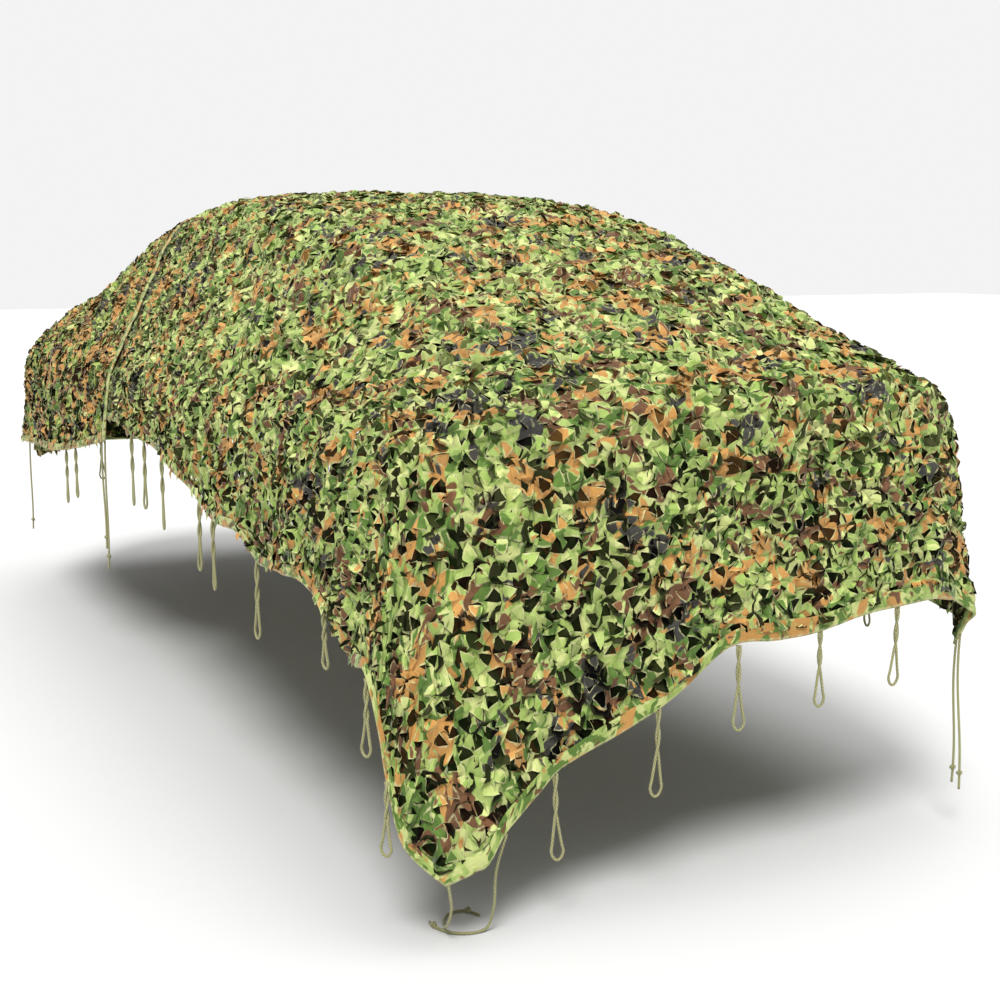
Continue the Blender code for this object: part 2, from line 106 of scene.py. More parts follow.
# Cross-sections along the net, by distance from the crown
Station = namedtuple("Station", "y crown crown_half crown_edge shoulder_half shoulder")
STATIONS = [
    Station(-1.84, 1.075, 0.46, 1.045, 0.66, 1.000),
    Station(-1.60, 1.130, 0.48, 1.105, 0.74, 0.995),
    Station(-1.30, 1.230, 0.50, 1.195, 0.79, 0.985),
    Station(-1.00, 1.345, 0.50, 1.305, 0.82, 0.975),
    Station(-0.70, 1.430, 0.50, 1.395, 0.84, 0.965),
    Station(-0.40, 1.480, 0.50, 1.445, 0.84, 0.960),
    Station(0.00, 1.500, 0.49, 1.465, 0.84, 0.955),
    Station(0.50, 1.500, 0.48, 1.465, 0.84, 0.950),
    Station(0.80, 1.470, 0.48, 1.430, 0.84, 0.950),
    Station(1.10, 1.360, 0.52, 1.320, 0.84, 0.950),
    Station(1.45, 1.210, 0.58, 1.175, 0.83, 0.950),
    Station(1.75, 1.140, 0.60, 1.115, 0.81, 0.945),
    Station(1.95, 1.100, 0.57, 1.075, 0.75, 0.930),
    Station(2.12, 1.050, 0.52, 1.020, 0.69, 0.900),
]

# Lower hems, by distance from the crown on the flanks and across the rear and front: height, how far
# out of the shoulder line they hang, and how far they slide along it
Hem = namedtuple("Hem", "at height out slide", defaults=(0.0,))
REAR_LEFT_HEM = [
    Hem(-1.62, 0.530, 0.100), Hem(-1.50, 0.620, 0.080), Hem(-1.38, 0.655, 0.055), Hem(-1.10, 0.635, 0.035),
    Hem(-1.00, 0.690, 0.030), Hem(-0.70, 0.690, 0.015), Hem(-0.60, 0.755, 0.015), Hem(-0.25, 0.800, 0.012),
    Hem(0.20, 0.825, 0.010), Hem(0.50, 0.820, 0.010),
]
REAR_RIGHT_HEM = [
    Hem(-1.62, 0.460, 0.060), Hem(-1.30, 0.500, 0.040), Hem(-1.00, 0.560, 0.030), Hem(-0.60, 0.650, 0.020),
    Hem(0.50, 0.700, 0.015),
]
FRONT_LEFT_HEM = [
    Hem(0.20, 0.770, 0.014), Hem(0.38, 0.750, 0.016), Hem(0.60, 0.705, 0.020), Hem(1.00, 0.650, 0.025),
    Hem(1.60, 0.610, 0.025), Hem(1.95, 0.585, 0.030),
]
FRONT_RIGHT_HEM = [Hem(0.20, 0.680, 0.020), Hem(1.00, 0.640, 0.025), Hem(1.95, 0.580, 0.060)]
REAR_HEM = [
    Hem(-0.73, 0.172, 0.220, 0.075), Hem(-0.66, 0.225, 0.138, 0.050), Hem(-0.60, 0.260, 0.087, 0.030),
    Hem(-0.51, 0.320, 0.039, 0.008), Hem(-0.46, 0.345, 0.030), Hem(-0.26, 0.437, 0.035),
    Hem(-0.18, 0.487, 0.040), Hem(-0.11, 0.545, 0.045), Hem(0.10, 0.545, 0.050),
    Hem(0.25, 0.572, 0.050), Hem(0.44, 0.583, 0.050),
    Hem(0.55, 0.560, 0.055, -0.015), Hem(0.67, 0.520, 0.185, -0.080),
]
FRONT_HEM = [
    Hem(-0.74, 0.540, 0.080), Hem(-0.40, 0.520, 0.070), Hem(0.40, 0.520, 0.070), Hem(0.74, 0.560, 0.080),
]

# The hanging corners: turn runs from 0 at the flank to 1 at the rear or front
Corner = namedtuple("Corner", "turn x y height")
REAR_LEFT_CORNER = [
    Corner(0.00, -0.860, -1.630, 0.560), Corner(0.13, -0.848, -1.735, 0.540),
    Corner(0.24, -0.836, -1.765, 0.430), Corner(0.34, -0.826, -1.785, 0.320),
    Corner(0.43, -0.805, -1.815, 0.210), Corner(0.50, -0.739, -1.860, 0.142),
    Corner(0.70, -0.690, -1.855, 0.155), Corner(1.00, -0.655, -1.850, 0.172),
]
REAR_RIGHT_CORNER = [
    Corner(0.00, 0.690, -1.610, 0.500), Corner(0.30, 0.660, -1.715, 0.475),
    Corner(0.50, 0.590, -1.750, 0.435), Corner(1.00, 0.580, -1.815, 0.525),
]
FRONT_LEFT_CORNER = [
    Corner(0.00, -0.770, 1.840, 0.585), Corner(0.50, -0.755, 1.930, 0.510),
    Corner(1.00, -0.690, 1.950, 0.540),
]
FRONT_RIGHT_CORNER = [
    Corner(0.00, 0.710, 1.840, 0.580), Corner(0.50, 0.700, 1.930, 0.540),
    Corner(1.00, 0.640, 1.950, 0.560),
]

# Soft ridges: each runs down a flank or an end, from its place at the crown to its place at the hem. They
# reach their full height early on the way down
FOLD_LENGTH = 0.9
FOLD_START = 1.6
Fold = namedtuple("Fold", "side top hem width height")
FOLDS = [
    Fold("left", -1.45, -1.35, 0.13, 0.022),
    Fold("left", -1.05, -0.90, 0.12, 0.016),
    Fold("left", -0.60, -0.45, 0.14, 0.024),
    Fold("left", -0.15, 0.02, 0.12, 0.018),
    Fold("left", 0.85, 0.60, 0.13, 0.026),
    Fold("left", 1.20, 1.15, 0.15, 0.020),
    Fold("left", 1.75, 1.80, 0.12, 0.018),
    Fold("right", -1.30, -1.20, 0.14, 0.020),
    Fold("right", -0.70, -0.55, 0.13, 0.022),
    Fold("right", 0.00, 0.10, 0.15, 0.016),
    Fold("right", 0.90, 0.95, 0.14, 0.022),
    Fold("right", 1.60, 1.65, 0.13, 0.018),
    Fold("rear", -0.52, -0.62, 0.11, 0.022),
    Fold("rear", -0.20, -0.30, 0.12, 0.014),
    Fold("rear", 0.12, -0.02, 0.10, 0.018),
    Fold("rear", 0.48, 0.55, 0.12, 0.020),
    Fold("front", -0.40, -0.45, 0.12, 0.018),
    Fold("front", 0.10, 0.15, 0.14, 0.020),
    Fold("front", 0.50, 0.55, 0.12, 0.018),
]
Peak = namedtuple("Peak", "x y radius height")
PEAKS = [
    Peak(-0.42, 0.18, 0.16, 0.016), Peak(0.02, -0.72, 0.16, 0.018), Peak(0.20, -1.25, 0.20, 0.016),
    Peak(-0.25, -0.35, 0.20, -0.012), Peak(0.30, 0.60, 0.22, 0.014), Peak(-0.30, 1.70, 0.20, 0.014),
]

# Ties at the hems: step is the place along the hem, in rows or columns of the grid
Tie = namedtuple("Tie", "name panel edge step drop lean")


def numbered(kind, runs):
    """Ties of runs along edges: each is named for its kind and edge, and numbered along the edge."""
    ties, counts = [], {}
    for panel, edge, places in runs:
        for place in places:
            counts[edge] = counts.get(edge, 0) + 1
            ties.append(Tie(f"{kind}_{edge}_{counts[edge]}", panel, edge, *place))
    return ties


LOOPS = numbered("tie", [
    ("rear", "rear", [(8.0, 0.180, 0.006), (10.6, 0.185, -0.004), (12.2, 0.180, 0.004),
        (14.1, 0.165, 0.003), (16.1, 0.175, -0.005)]),
    ("rear", "left", [(2.2, 0.150, 0.004), (3.9, 0.155, 0.003), (6.6, 0.120, -0.004), (11.1, 0.185, 0.004),
        (13.8, 0.175, -0.006), (14.7, 0.180, 0.008), (17.6, 0.200, -0.005), (19.2, 0.190, 0.005),
        (20.1, 0.200, -0.003)]),
    ("front", "left", [(25.7, 0.160, -0.004), (27.6, 0.180, 0.004)]),
    ("rear", "right", [(9.5, 0.170, -0.005), (13.5, 0.180, 0.005), (18.5, 0.170, -0.004)]),
    ("front", "right", [(26.5, 0.190, 0.004), (31.5, 0.170, -0.004)]),
    ("front", "front", [(9.5, 0.170, 0.004), (16.5, 0.170, -0.004)]),
])

# A loop's two strands: half the space between them, as a multiple of the neck, by share of the drop
LOOP_NECK = 0.0043
LOOP_SHAPE = [(0.97, 0.55), (2.27, 0.80), (3.02, 0.90), (1.81, 0.975)]

# Tails: single cords with free ends that hang from the corners
TAILS = [
    Tie("tail_rear_right_1", "rear", "rear", 24.2, 0.360, -0.030),
    Tie("tail_rear_right_2", "rear", "rear", 25.2, 0.335, -0.010),
    Tie("tail_lap_left_1", "front", "left", 23.08, 0.400, 0.012),
    Tie("tail_lap_left_2", "front", "left", 23.40, 0.330, -0.012),
    Tie("tail_front_left_1", "front", "left", 35.5, 0.340, 0.012),
    Tie("tail_front_right_1", "front", "right", 35.5, 0.340, 0.012),
]
TAIL_POINTS = 9
TAIL_SWAY = 0.006
TAIL_CURVE = 1.5

# The two tails of the low corner reach the ground and lie on it: places x and y, and height above it
LowTail = namedtuple("LowTail", "name step places")
LOW_TAILS = [
    LowTail("tail_rear_left_1", 0.3, [
        (-0.722, -1.845, 0.085), (-0.714, -1.812, 0.040), (-0.700, -1.765, 0.010), (-0.680, -1.722, 0.0042),
        (-0.656, -1.700, 0.0042), (-0.625, -1.703, 0.0042), (-0.608, -1.735, 0.0042),
    ]),
    LowTail("tail_rear_left_2", 5.0, [
        (-0.622, -1.838, 0.140), (-0.620, -1.826, 0.070), (-0.622, -1.806, 0.016), (-0.640, -1.803, 0.0042),
        (-0.668, -1.799, 0.0042), (-0.695, -1.780, 0.0042), (-0.711, -1.745, 0.0042),
        (-0.712, -1.718, 0.0042),
    ]),
]

# Camera: where the net was seen from, and how
CAMERA_PLACE = (-1.9126, -4.3988, -0.1551)
CAMERA_TURN = 0.4694
CAMERA_DIP = 0.1625
CAMERA_LENS = 55.8
SENSOR = 36.0
FLOOR_SIZE = 60

# Suns: the setting that holds their strength, which way they stand, and how broad they are
Sun = namedtuple("Sun", "name strength way spread")
SUNS = [
    Sun("key_light", "key", (-0.38, -0.55, 0.90), 0.35),
    Sun("top_light", "top", (0.10, -0.10, 1.0), 1.2),
]

# One cell of the leaf-cut cloth, in cell widths: its rim, and the three-cornered hole that the knife leaves.
# Both start at the top left and run clockwise
CELL_RIM = [(-0.5, 0.5), (0, 0.5), (0.5, 0.5), (0.5, 0), (0.5, -0.5), (0, -0.5), (-0.5, -0.5), (-0.5, 0)]
CELL_HOLE = [(-0.37, 0.29), (0, 0.34), (0.37, 0.29), (0.25, 0.00), (0.13, -0.26), (0, -0.44),
             (-0.13, -0.26), (-0.25, 0.00)]
HINGE_LINE = 0.30
QUARTER_SHARES = (0.38, 0.14, 0.34, 0.14)

# How unevenly cells are cut, in cell widths: how far they turn (radians), shift and lean, their least and
# greatest size, and how far the points of their rims and holes stray. Lifts are shares of the ruffle
CELL_TURN = 0.30
CELL_SHIFT = 0.06
CELL_LEAN = 0.46
CELL_SIZES = (0.88, 1.16)
RIM_STRAY = 0.10
RIM_LIFT = 0.6
HOLE_STRAY = 0.035
HOLE_LIFT = 0.45

# Painted light and shade: least and greatest brightness of the rims' points, of the cells, and of a cell's
# points against each other
RIM_LIGHT = (0.70, 1.30)
CELL_LIGHT = (0.68, 1.18)
POINT_LIGHT = (0.80, 1.20)

# How far a leaf's twist shifts it sideways, and how much less it is creased than twisted
TWIST_SHIFT = 0.1
CREASE_PART = 3

# More than twice the rows of any panel: keeps each rim point's number its own
KEY_STRIDE = 100000

# The two leaves that hang in a hole from its top three points: rows of half width and depth from the hinge,
# the tip's depth, and how much length and breadth vary. The outer leaf is the cut piece; the inner one is
# bent in behind it and painted dark, as painted shade seen through the hole
LeafRow = namedtuple("LeafRow", "half_width depth")
Leaf = namedtuple("Leaf", "rows tip long broad")
LEAF_SIDES = (-1, 0, 1)
OUTER_LEAF = Leaf([LeafRow(0.34, 0.26), LeafRow(0.22, 0.54)], 0.86, (0.86, 1.16), (0.74, 1.10))
INNER_LEAF = Leaf([LeafRow(0.64, 0.30), LeafRow(0.58, 0.68)], 1.10, (1.00, 1.10), (1.00, 1.10))

# How leaves open: their share, least and greatest angle, curl, how unevenly they curl and twist, and least
# and greatest brightness, which is painted light and shade
Opening = namedtuple("Opening", "share least most curl spread dark light")
INNER = Opening(1.0, -30, -20, 0.30, 0.05, 0.40, 1.60)
OUTER = [
    Opening(0.975, 9, 32, -0.38, 0.26, 0.80, 1.32),
    Opening(0.025, 95, 125, 0.30, 0.26, 0.80, 1.25),
]

# How the cloth lies, by height: where it hangs free more holes stand open, and the inner leaves in them
# carry more painted shade
Lie = namedtuple("Lie", "height outer_share inner_light")
LIES = [Lie(0.80, 0.60, 0.055), Lie(0.97, 0.71, 0.11), Lie(1.20, 0.87, 0.36)]
SHARP_FOLD = math.radians(20)
RUFFLE_SHARE = 0.9
RUFFLE_LUMPS = (0.13, 0.055)
MOST_LIFT = 0.013
PRINT_SHIFT = 0.013

# Step for measuring how flat places are stretched on the cloth, the least stretch, and how far cells give
# way to it
PROBE = 0.008
LEAST_STRETCH = 0.5
CELL_FIT = (0.62, 1.25)

# The cells stop this far inside a panel's edges, under its hem band: at its rear and front end, and at its
# flanks
END_CLEAR = {"rear": (0.024, 0.015), "front": (0.012, 0.012)}
SIDE_CLEAR = 0.010
SIDE_SHARE = 0.25

# Hem band, from its inner edge on the outside round to its inner edge on the inside: how far in from the
# edge, how far out of the cloth, and how pale
HemPoint = namedtuple("HemPoint", "inward lift pale")
HEM_SECTION = [
    HemPoint(0.034, 0.0040, 0.4), HemPoint(0.024, 0.0050, 0.0), HemPoint(0.010, 0.0040, 0.0),
    HemPoint(0.004, 0.0042, 0.8), HemPoint(0.000, 0.0034, 1.0), HemPoint(-0.002, 0.0, 1.0),
    HemPoint(0.000, -0.0030, 1.0), HemPoint(0.008, -0.0030, 0.0), HemPoint(0.024, -0.0026, 0.0),
]

# How wide the band is round a panel's rear, right, front and left side, as a share of the section above
HEM_WIDTHS = {"rear": (1.0, 0.7, 0.7, 0.7), "front": (0.65, 0.7, 0.7, 0.7)}

# Leaves that hang over a hem: how many there are for each step round its rear, right, front and left side,
# and the least and greatest place of the root, length, half width, bulge and sideways lean. The low corner
# has none
HEM_LEAVES = {"rear": (0.0, 0.9, 0.0, 0.9), "front": (0.0, 0.9, 0.5, 0.9)}
HemLeaf = namedtuple("HemLeaf", "root long broad bulge lean")
HEM_LEAF = HemLeaf((0.014, 0.030), (0.020, 0.036), (0.007, 0.013), (0.001, 0.006), (-0.010, 0.010))
HEM_LEAF_ROWS = [(0.0, 0.75), (0.5, 1.0)]
HEM_LEAF_FACES = [(2, 5, 4, 1), (1, 4, 3, 0), (5, 6, 4), (4, 6, 3)]
HEM_LEAF_LIFT = 0.005

# The rear panel is dark close behind the front panel's edge, in the lap's shadow: where the shadow starts,
# is full, and ends, and how dark it is
LAP_SHADOW = (-0.072, -0.020, 0.000, 0.001)
NO_SHADOW = (9.0, 9.1, 9.2, 9.3)
LAP_SHADE = 0.20

# Sides of a cord, and a direction that no cord runs in
CORD_SIDES = 8
FIRST_SIDE = (0.31, 0.87, 0.38)

# Size of the noise table, and where in it the flat places start
NOISE_TABLE = 256
NOISE_START = 100

# Backing strings: how unevenly their depth and their line run, with lumps of what size and from what seed.
# For the hem band further down, the seed is added to the panel's own
Uneven = namedtuple("Uneven", "most lump seed")
STRING_SAG = Uneven(0.003, 0.07, 5)
STRING_STRAY = Uneven(0.004, 0.1, 6)
STRING_SIDES = 3

# Hem band: steps for each row or column of the grid, how far inwards its frame is taken (in grid steps), how
# its width and its lift vary, and how bright and how straw-coloured it is
EDGE_STEPS = 4
EDGE_PROBE = 0.25
HEM_WAVE = Uneven(0.16, 0.07, 0)
HEM_FLUTTER = Uneven(0.0028, 0.05, 1)
HEM_SHADE = 0.95
HEM_TONE = 0.4

# Hem leaves: how far they shift along the hem, how much higher their middle rib stands, their least and
# greatest brightness (painted light and shade), and how far apart their places in the print lie
HEM_LEAF_SHIFT = 0.014
HEM_LEAF_RIB = 0.002
HEM_LEAF_LIGHT = (0.8, 1.35)
HEM_LEAF_PRINT = (0.03, 9, 90)

# Steps of a knot's wound path, its breadth and depth in cord widths, and its cord's thickness and height
KNOT_STEPS = 28
KNOT_BREADTH = 0.30
KNOT_DEPTH = 0.55
KNOT_WIDTH = 0.8
KNOT_RISE = 0.5

# A knot sits this many points before a tail's end. Steps between a route's points, steps for each turn of a
# loop's strands, and how far a strand lies from their middle in cord widths
KNOT_PLACE = -5
TAIL_STEPS = 5
LOOP_STEPS = 4
TURN_STEPS = 8
STRAND_OFFSET = 0.53


RGBA = {"subtype": "COLOR", "size": 4}


class NetSettings(bpy.types.PropertyGroup):
    """Sizes and colours of the cloth."""

    leaf_pitch: bpy.props.FloatProperty(
        name="Leaf pitch", description="Width of one cell of the leaf-cut cloth", default=0.032,
        min=0.02, unit="LENGTH")
    ruffle: bpy.props.FloatProperty(
        name="Ruffle", description="How far the cut cloth stands in and out", default=0.0060, unit="LENGTH")
    string_pitch: bpy.props.FloatProperty(
        name="String pitch", description="Mesh size of the backing strings", default=0.09, unit="LENGTH")
    string_width: bpy.props.FloatProperty(
        name="String width", description="Thickness of a backing string", default=0.0020, unit="LENGTH")
    string_depth: bpy.props.FloatProperty(
        name="String depth", description="How far the strings lie inside the cloth", default=0.009,
        unit="LENGTH")
    lime: bpy.props.FloatVectorProperty(
        name="Lime", description="Ground of the print", **RGBA, default=(0.290, 0.420, 0.088, 1))
    straw: bpy.props.FloatVectorProperty(
        name="Straw", description="Palest green of the print", **RGBA, default=(0.550, 0.600, 0.220, 1))
    olive: bpy.props.FloatVectorProperty(
        name="Olive", description="Ground of the front panel's print", **RGBA,
        default=(0.250, 0.330, 0.040, 1))
    leaf_green: bpy.props.FloatVectorProperty(
        name="Leaf green", description="Mid green of the print", **RGBA, default=(0.098, 0.186, 0.026, 1))
    tan: bpy.props.FloatVectorProperty(
        name="Tan", description="Orange tan of the print", **RGBA, default=(0.520, 0.265, 0.068, 1))
    bark: bpy.props.FloatVectorProperty(
        name="Bark", description="Brown of the print", **RGBA, default=(0.160, 0.070, 0.026, 1))
    charcoal: bpy.props.FloatVectorProperty(
        name="Charcoal", description="Darkest colour of the print", **RGBA, default=(0.042, 0.039, 0.032, 1))
    # Pale raw cut edge, which also serves as a painted highlight along leaves, rings and hems
    raw_edge_and_highlight: bpy.props.FloatVectorProperty(
        name="Cut edge", description="Pale raw edge of each leaf", **RGBA, default=(0.620, 0.600, 0.300, 1))


class CordSettings(bpy.types.PropertyGroup):
    """Sizes and colour of the ties."""

    width: bpy.props.FloatProperty(
        name="Cord", description="Thickness of a tie's cord", default=CORD, unit="LENGTH")
    twist: bpy.props.FloatProperty(
        name="Twist", description="Length of one turn of a tie's two strands", default=0.075, unit="LENGTH")
    colour: bpy.props.FloatVectorProperty(
        name="Colour", description="Colour of the cords", **RGBA, default=(0.420, 0.400, 0.180, 1))


class StudioSettings(bpy.types.PropertyGroup):
    """Floor and light."""

    floor: bpy.props.FloatVectorProperty(
        name="Floor", description="Colour of the floor", **RGBA, default=(0.80, 0.80, 0.79, 1))
    key: bpy.props.FloatProperty(
        name="Key light", description="Strength of the soft light from behind the viewer", default=2.2)
    top: bpy.props.FloatProperty(
        name="Top light", description="Strength of the soft light from above", default=1.75)
    surround: bpy.props.FloatProperty(
        name="Surround", description="Strength of the light from all round", default=0.30)
    backdrop: bpy.props.FloatProperty(
        name="Backdrop", description="Brightness of the plain surround as seen", default=0.90)


def level(height):
    """Z of a height above the ground."""
    return height - (CROWN_HEIGHT - SHEET / 2)


def mix(a, b, share):
    return a + (b - a) * share


def read(table, at):
    """The row of a table at a place, each column in a straight line between its neighbours."""
    if at <= table[0][0]:
        return table[0]
    for low, high in zip(table, table[1:]):
        if at <= high[0]:
            share = (at - low[0]) / (high[0] - low[0])
            return type(low)(*(mix(a, b, share) for a, b in zip(low, high)))
    return table[-1]


def bell(distance, width):
    return math.exp(-((distance / width) ** 2))


def across(column):
    """Place across the cap, from -1 at the left shoulder to 1 at the right, and share of skirt passed."""
    middle = COLUMNS / 2
    off = abs(column - middle)
    side = -1 if column < middle else 1
    half_crown = CROWN_COLUMNS / 2
    if off <= half_crown:
        place = CROWN_SHARE * off / half_crown
    else:
        place = CROWN_SHARE + (1 - CROWN_SHARE) * min(1, (off - half_crown) / SLOPE_COLUMNS)
    skirt = max(0, off - half_crown - SLOPE_COLUMNS) / SKIRT_COLUMNS
    return side * place, skirt, side


def along(row):
    """Distance of a row along the cap, and share of the rear or front skirt passed."""
    if row < REAR_ROWS:
        return REAR_EDGE, (REAR_ROWS - row) / REAR_ROWS, -1
    if row > REAR_ROWS + CAP_ROWS:
        return FRONT_EDGE, (row - REAR_ROWS - CAP_ROWS) / FRONT_ROWS, 1
    return REAR_EDGE + (row - REAR_ROWS) * ROW_PITCH, 0, 0


def cap(place, run):
    """A point of the upper surface: the crown, and the slopes from it down to the shoulders."""
    from_rear = max(0, 1 - (run - REAR_EDGE) / BOW_REACH)
    from_front = max(0, 1 - (FRONT_EDGE - run) / BOW_REACH)
    bow = REAR_BOW * from_rear ** BOW_ALONG - FRONT_BOW * from_front ** BOW_ALONG
    lap_width = LAP_BEHIND if run < LAP_CENTRE else LAP_AHEAD
    side_share = max(0, (abs(place) - CROWN_SHARE) / (1 - CROWN_SHARE))
    sweep = LAP_BOW * bell(run - LAP_CENTRE, lap_width) * (1 - side_share) ** LAP_FADE
    y = run + bow * abs(place) ** BOW_ACROSS + sweep
    station = read(STATIONS, y)
    if abs(place) <= CROWN_SHARE:
        share = place / CROWN_SHARE
        x = station.crown_half * share
        height = mix(station.crown, station.crown_edge, share * share)
    else:
        x = math.copysign(mix(station.crown_half, station.shoulder_half, side_share), place)
        height = mix(station.crown_edge, station.shoulder, side_share)
    return Vector((x * RIGHT_SHARE if x > 0 else x, y, height))


def hang(post, foot, passed):
    """A point on the skirt between its shoulder post and its hem foot: it swings out, then falls."""
    swing = passed ** SWING
    return Vector((mix(post.x, foot.x, swing), mix(post.y, foot.y, swing), mix(post.z, foot.z, passed)))


def fold_lift(point, skirt, end_skirt, side, end):
    """How far the folds and peaks push the cloth outwards at a point."""
    lift = 0.0
    reach = max(skirt, end_skirt)
    edges = {"left": side < 0, "right": side > 0, "rear": end < 0, "front": end > 0}
    depth = min(1, max(0, (CROWN_HEIGHT - point.z) / FOLD_LENGTH))
    for fold in FOLDS:
        if not edges[fold.side]:
            continue
        along_end = fold.side in ("rear", "front")
        if along_end and end_skirt == 0:
            continue
        here = point.x if along_end else point.y
        centre = mix(fold.top, fold.hem, depth)
        strength = (1 + reach) / 2 if along_end else min(1, depth * FOLD_START)
        lift += fold.height * strength * bell(here - centre, fold.width)
    for peak in PEAKS:
        if reach == 0:
            lift += peak.height * bell(math.hypot(point.x - peak.x, point.y - peak.y), peak.radius)
    return lift


Hems = namedtuple("Hems", "left right rear front rear_left rear_right front_left front_right")
REAR_PANEL_HEMS = Hems(REAR_LEFT_HEM, REAR_RIGHT_HEM, REAR_HEM, FRONT_HEM, REAR_LEFT_CORNER,
                       REAR_RIGHT_CORNER, FRONT_LEFT_CORNER, FRONT_RIGHT_CORNER)
FRONT_PANEL_HEMS = REAR_PANEL_HEMS._replace(left=FRONT_LEFT_HEM, right=FRONT_RIGHT_HEM)


def grid_point(column, row, hems):
    """One grid point of the hanging net, and which way is outwards there."""
    place, skirt, side = across(column)
    run, end_skirt, end = along(row)
    top = cap(place, run)
    if skirt and end_skirt:
        if end < 0:
            table = hems.rear_left if side < 0 else hems.rear_right
        else:
            table = hems.front_left if side < 0 else hems.front_right
        turn = math.atan2(end_skirt, skirt) / (math.pi / 2)
        corner = read(table, turn)
        point = hang(top, Vector((corner.x, corner.y, corner.height)), max(skirt, end_skirt))
        angle = turn * math.pi / 2
        outward = Vector((side * math.cos(angle), end * math.sin(angle), 0))
    elif skirt:
        hem = read(hems.left if side < 0 else hems.right, top.y)
        foot = Vector((top.x + side * hem.out, top.y + hem.slide, hem.height))
        point = hang(top, foot, skirt)
        outward = Vector((side, 0, 0))
    elif end_skirt:
        hem = read(hems.rear if end < 0 else hems.front, top.x)
        foot = Vector((top.x + hem.slide, top.y + end * hem.out, hem.height))
        point = hang(top, foot, end_skirt)
        outward = Vector((0, end, 0))
    else:
        point = top
        lean = max(0, (abs(place) - CROWN_SHARE) / (1 - CROWN_SHARE))
        outward = Vector((side * lean, 0, CROWN_FACING - lean)).normalized()
    return point + outward * fold_lift(point, skirt, end_skirt, side, end)


def net_grid(hems):
    """All grid points, eased."""
    points = np.array([[tuple(grid_point(column, row, hems)) for column in range(COLUMNS + 1)]
                       for row in range(ROWS + 1)])
    for _ in range(SMOOTHING_PASSES):
        inner = (points[:-2, 1:-1] + points[2:, 1:-1] + points[1:-1, :-2] + points[1:-1, 2:]) / 4
        points[1:-1, 1:-1] = mix(points[1:-1, 1:-1], inner, SMOOTHING_SHARE)
    return points


def outward_normals(points):
    """Unit normals of the grid, pointing away from the hollow."""
    over = np.gradient(points, axis=1)
    forward = np.gradient(points, axis=0)
    normals = np.cross(over, forward)
    return normals / np.linalg.norm(normals, axis=2, keepdims=True)


def place_in_frame(points):
    """Grid points with their heights turned into Z."""
    placed = points.copy()
    placed[:, :, 2] = level(placed[:, :, 2])
    return placed


def hem_spot(points, edge, step):
    """A point on a hem, and the level direction along it."""
    low = int(step)
    line = {
        "rear": points[0, :],
        "front": points[ROWS, :],
        "left": points[:, 0],
        "right": points[:, COLUMNS],
    }[edge]
    start, end = Vector(line[low]), Vector(line[low + 1])
    run = end - start
    return start.lerp(end, step - low), Vector((run.x, run.y, 0)).normalized()


def smooth_route(points, steps):
    """A smooth curve through the points, with a few steps from each to the next."""
    padded = [2 * points[0] - points[1], *points, 2 * points[-1] - points[-2]]
    route = []
    for before, start, end, after in zip(padded, padded[1:], padded[2:], padded[3:]):
        for step in range(steps):
            share = step / steps
            bend = 2 * before - 5 * start + 4 * end - after
            twist = 3 * start - before - 3 * end + after
            way = (end - before) * share + bend * share ** 2 + twist * share ** 3
            route.append(start + way / 2)
    return [*route, points[-1]]


class Cloth:
    """A panel's surface, read at flat places: metres across from the centre line, and from the rear."""

    def __init__(self, hems, lift, first_row, last_row):
        eased = net_grid(hems)
        self.points = place_in_frame(eased + outward_normals(eased) * lift)
        self.normals = outward_normals(self.points)
        self.rows = (first_row, last_row)
        widths = np.linalg.norm(np.diff(self.points, axis=1), axis=2)
        run = np.concatenate([np.zeros((ROWS + 1, 1)), np.cumsum(widths, axis=1)], axis=1)
        middle = COLUMNS // 2
        self.across = run - run[:, middle:middle + 1]
        lengths = np.linalg.norm(np.diff(self.points[:, middle], axis=0), axis=1)
        self.along = np.concatenate([[0], np.cumsum(lengths)])

    def span(self):
        return self.along[self.rows[0]], self.along[self.rows[1]]

    def sides(self, t):
        """The flat places of the left and right edges at distances along."""
        return np.interp(t, self.along, self.across[:, 0]), np.interp(t, self.along, self.across[:, -1])

    def grid_place(self, s, t):
        """Rows and columns, with their fractions, of flat places."""
        rows = np.interp(t, self.along, np.arange(ROWS + 1))
        low = np.minimum(rows.astype(int), ROWS - 1)
        share = (rows - low)[:, None]
        line = self.across[low] * (1 - share) + self.across[low + 1] * share
        s = np.clip(s, line[:, 0], line[:, -1])
        column = np.clip((line <= s[:, None]).sum(axis=1) - 1, 0, COLUMNS - 1)
        start = np.take_along_axis(line, column[:, None], axis=1)[:, 0]
        end = np.take_along_axis(line, column[:, None] + 1, axis=1)[:, 0]
        return rows, column + (s - start) / (end - start)

    def at_grid(self, rows, columns):
        """Points and unit normals at rows and columns, on a smooth curve through the grid."""
        weights, indexes = [], []
        for place, most in ((rows, ROWS), (columns, COLUMNS)):
            low = np.clip(np.floor(place).astype(int), 0, most - 1)
            weights.append(curve_weights(place - low))
            indexes.append(np.clip(low[:, None] + np.arange(-1, 3), 0, most))
        picked_rows, picked_columns = indexes[0][:, :, None], indexes[1][:, None, :]
        both = weights[0][:, :, None] * weights[1][:, None, :]
        points = np.einsum("nij,nijk->nk", both, self.points[picked_rows, picked_columns])
        normals = np.einsum("nij,nijk->nk", both, self.normals[picked_rows, picked_columns])
        return points, normals / np.linalg.norm(normals, axis=1, keepdims=True)

    def at(self, s, t):
        """Points and unit normals at flat places, which are kept inside the panel."""
        return self.at_grid(*self.grid_place(s, np.clip(t, *self.span())))


def curve_weights(share):
    """Weights of four neighbours for a smooth curve through the middle two."""
    s = share[:, None]
    return np.hstack([
        -0.5 * s + s ** 2 - 0.5 * s ** 3,
        1 - 2.5 * s ** 2 + 1.5 * s ** 3,
        0.5 * s + 2 * s ** 2 - 1.5 * s ** 3,
        -0.5 * s ** 2 + 0.5 * s ** 3,
    ])


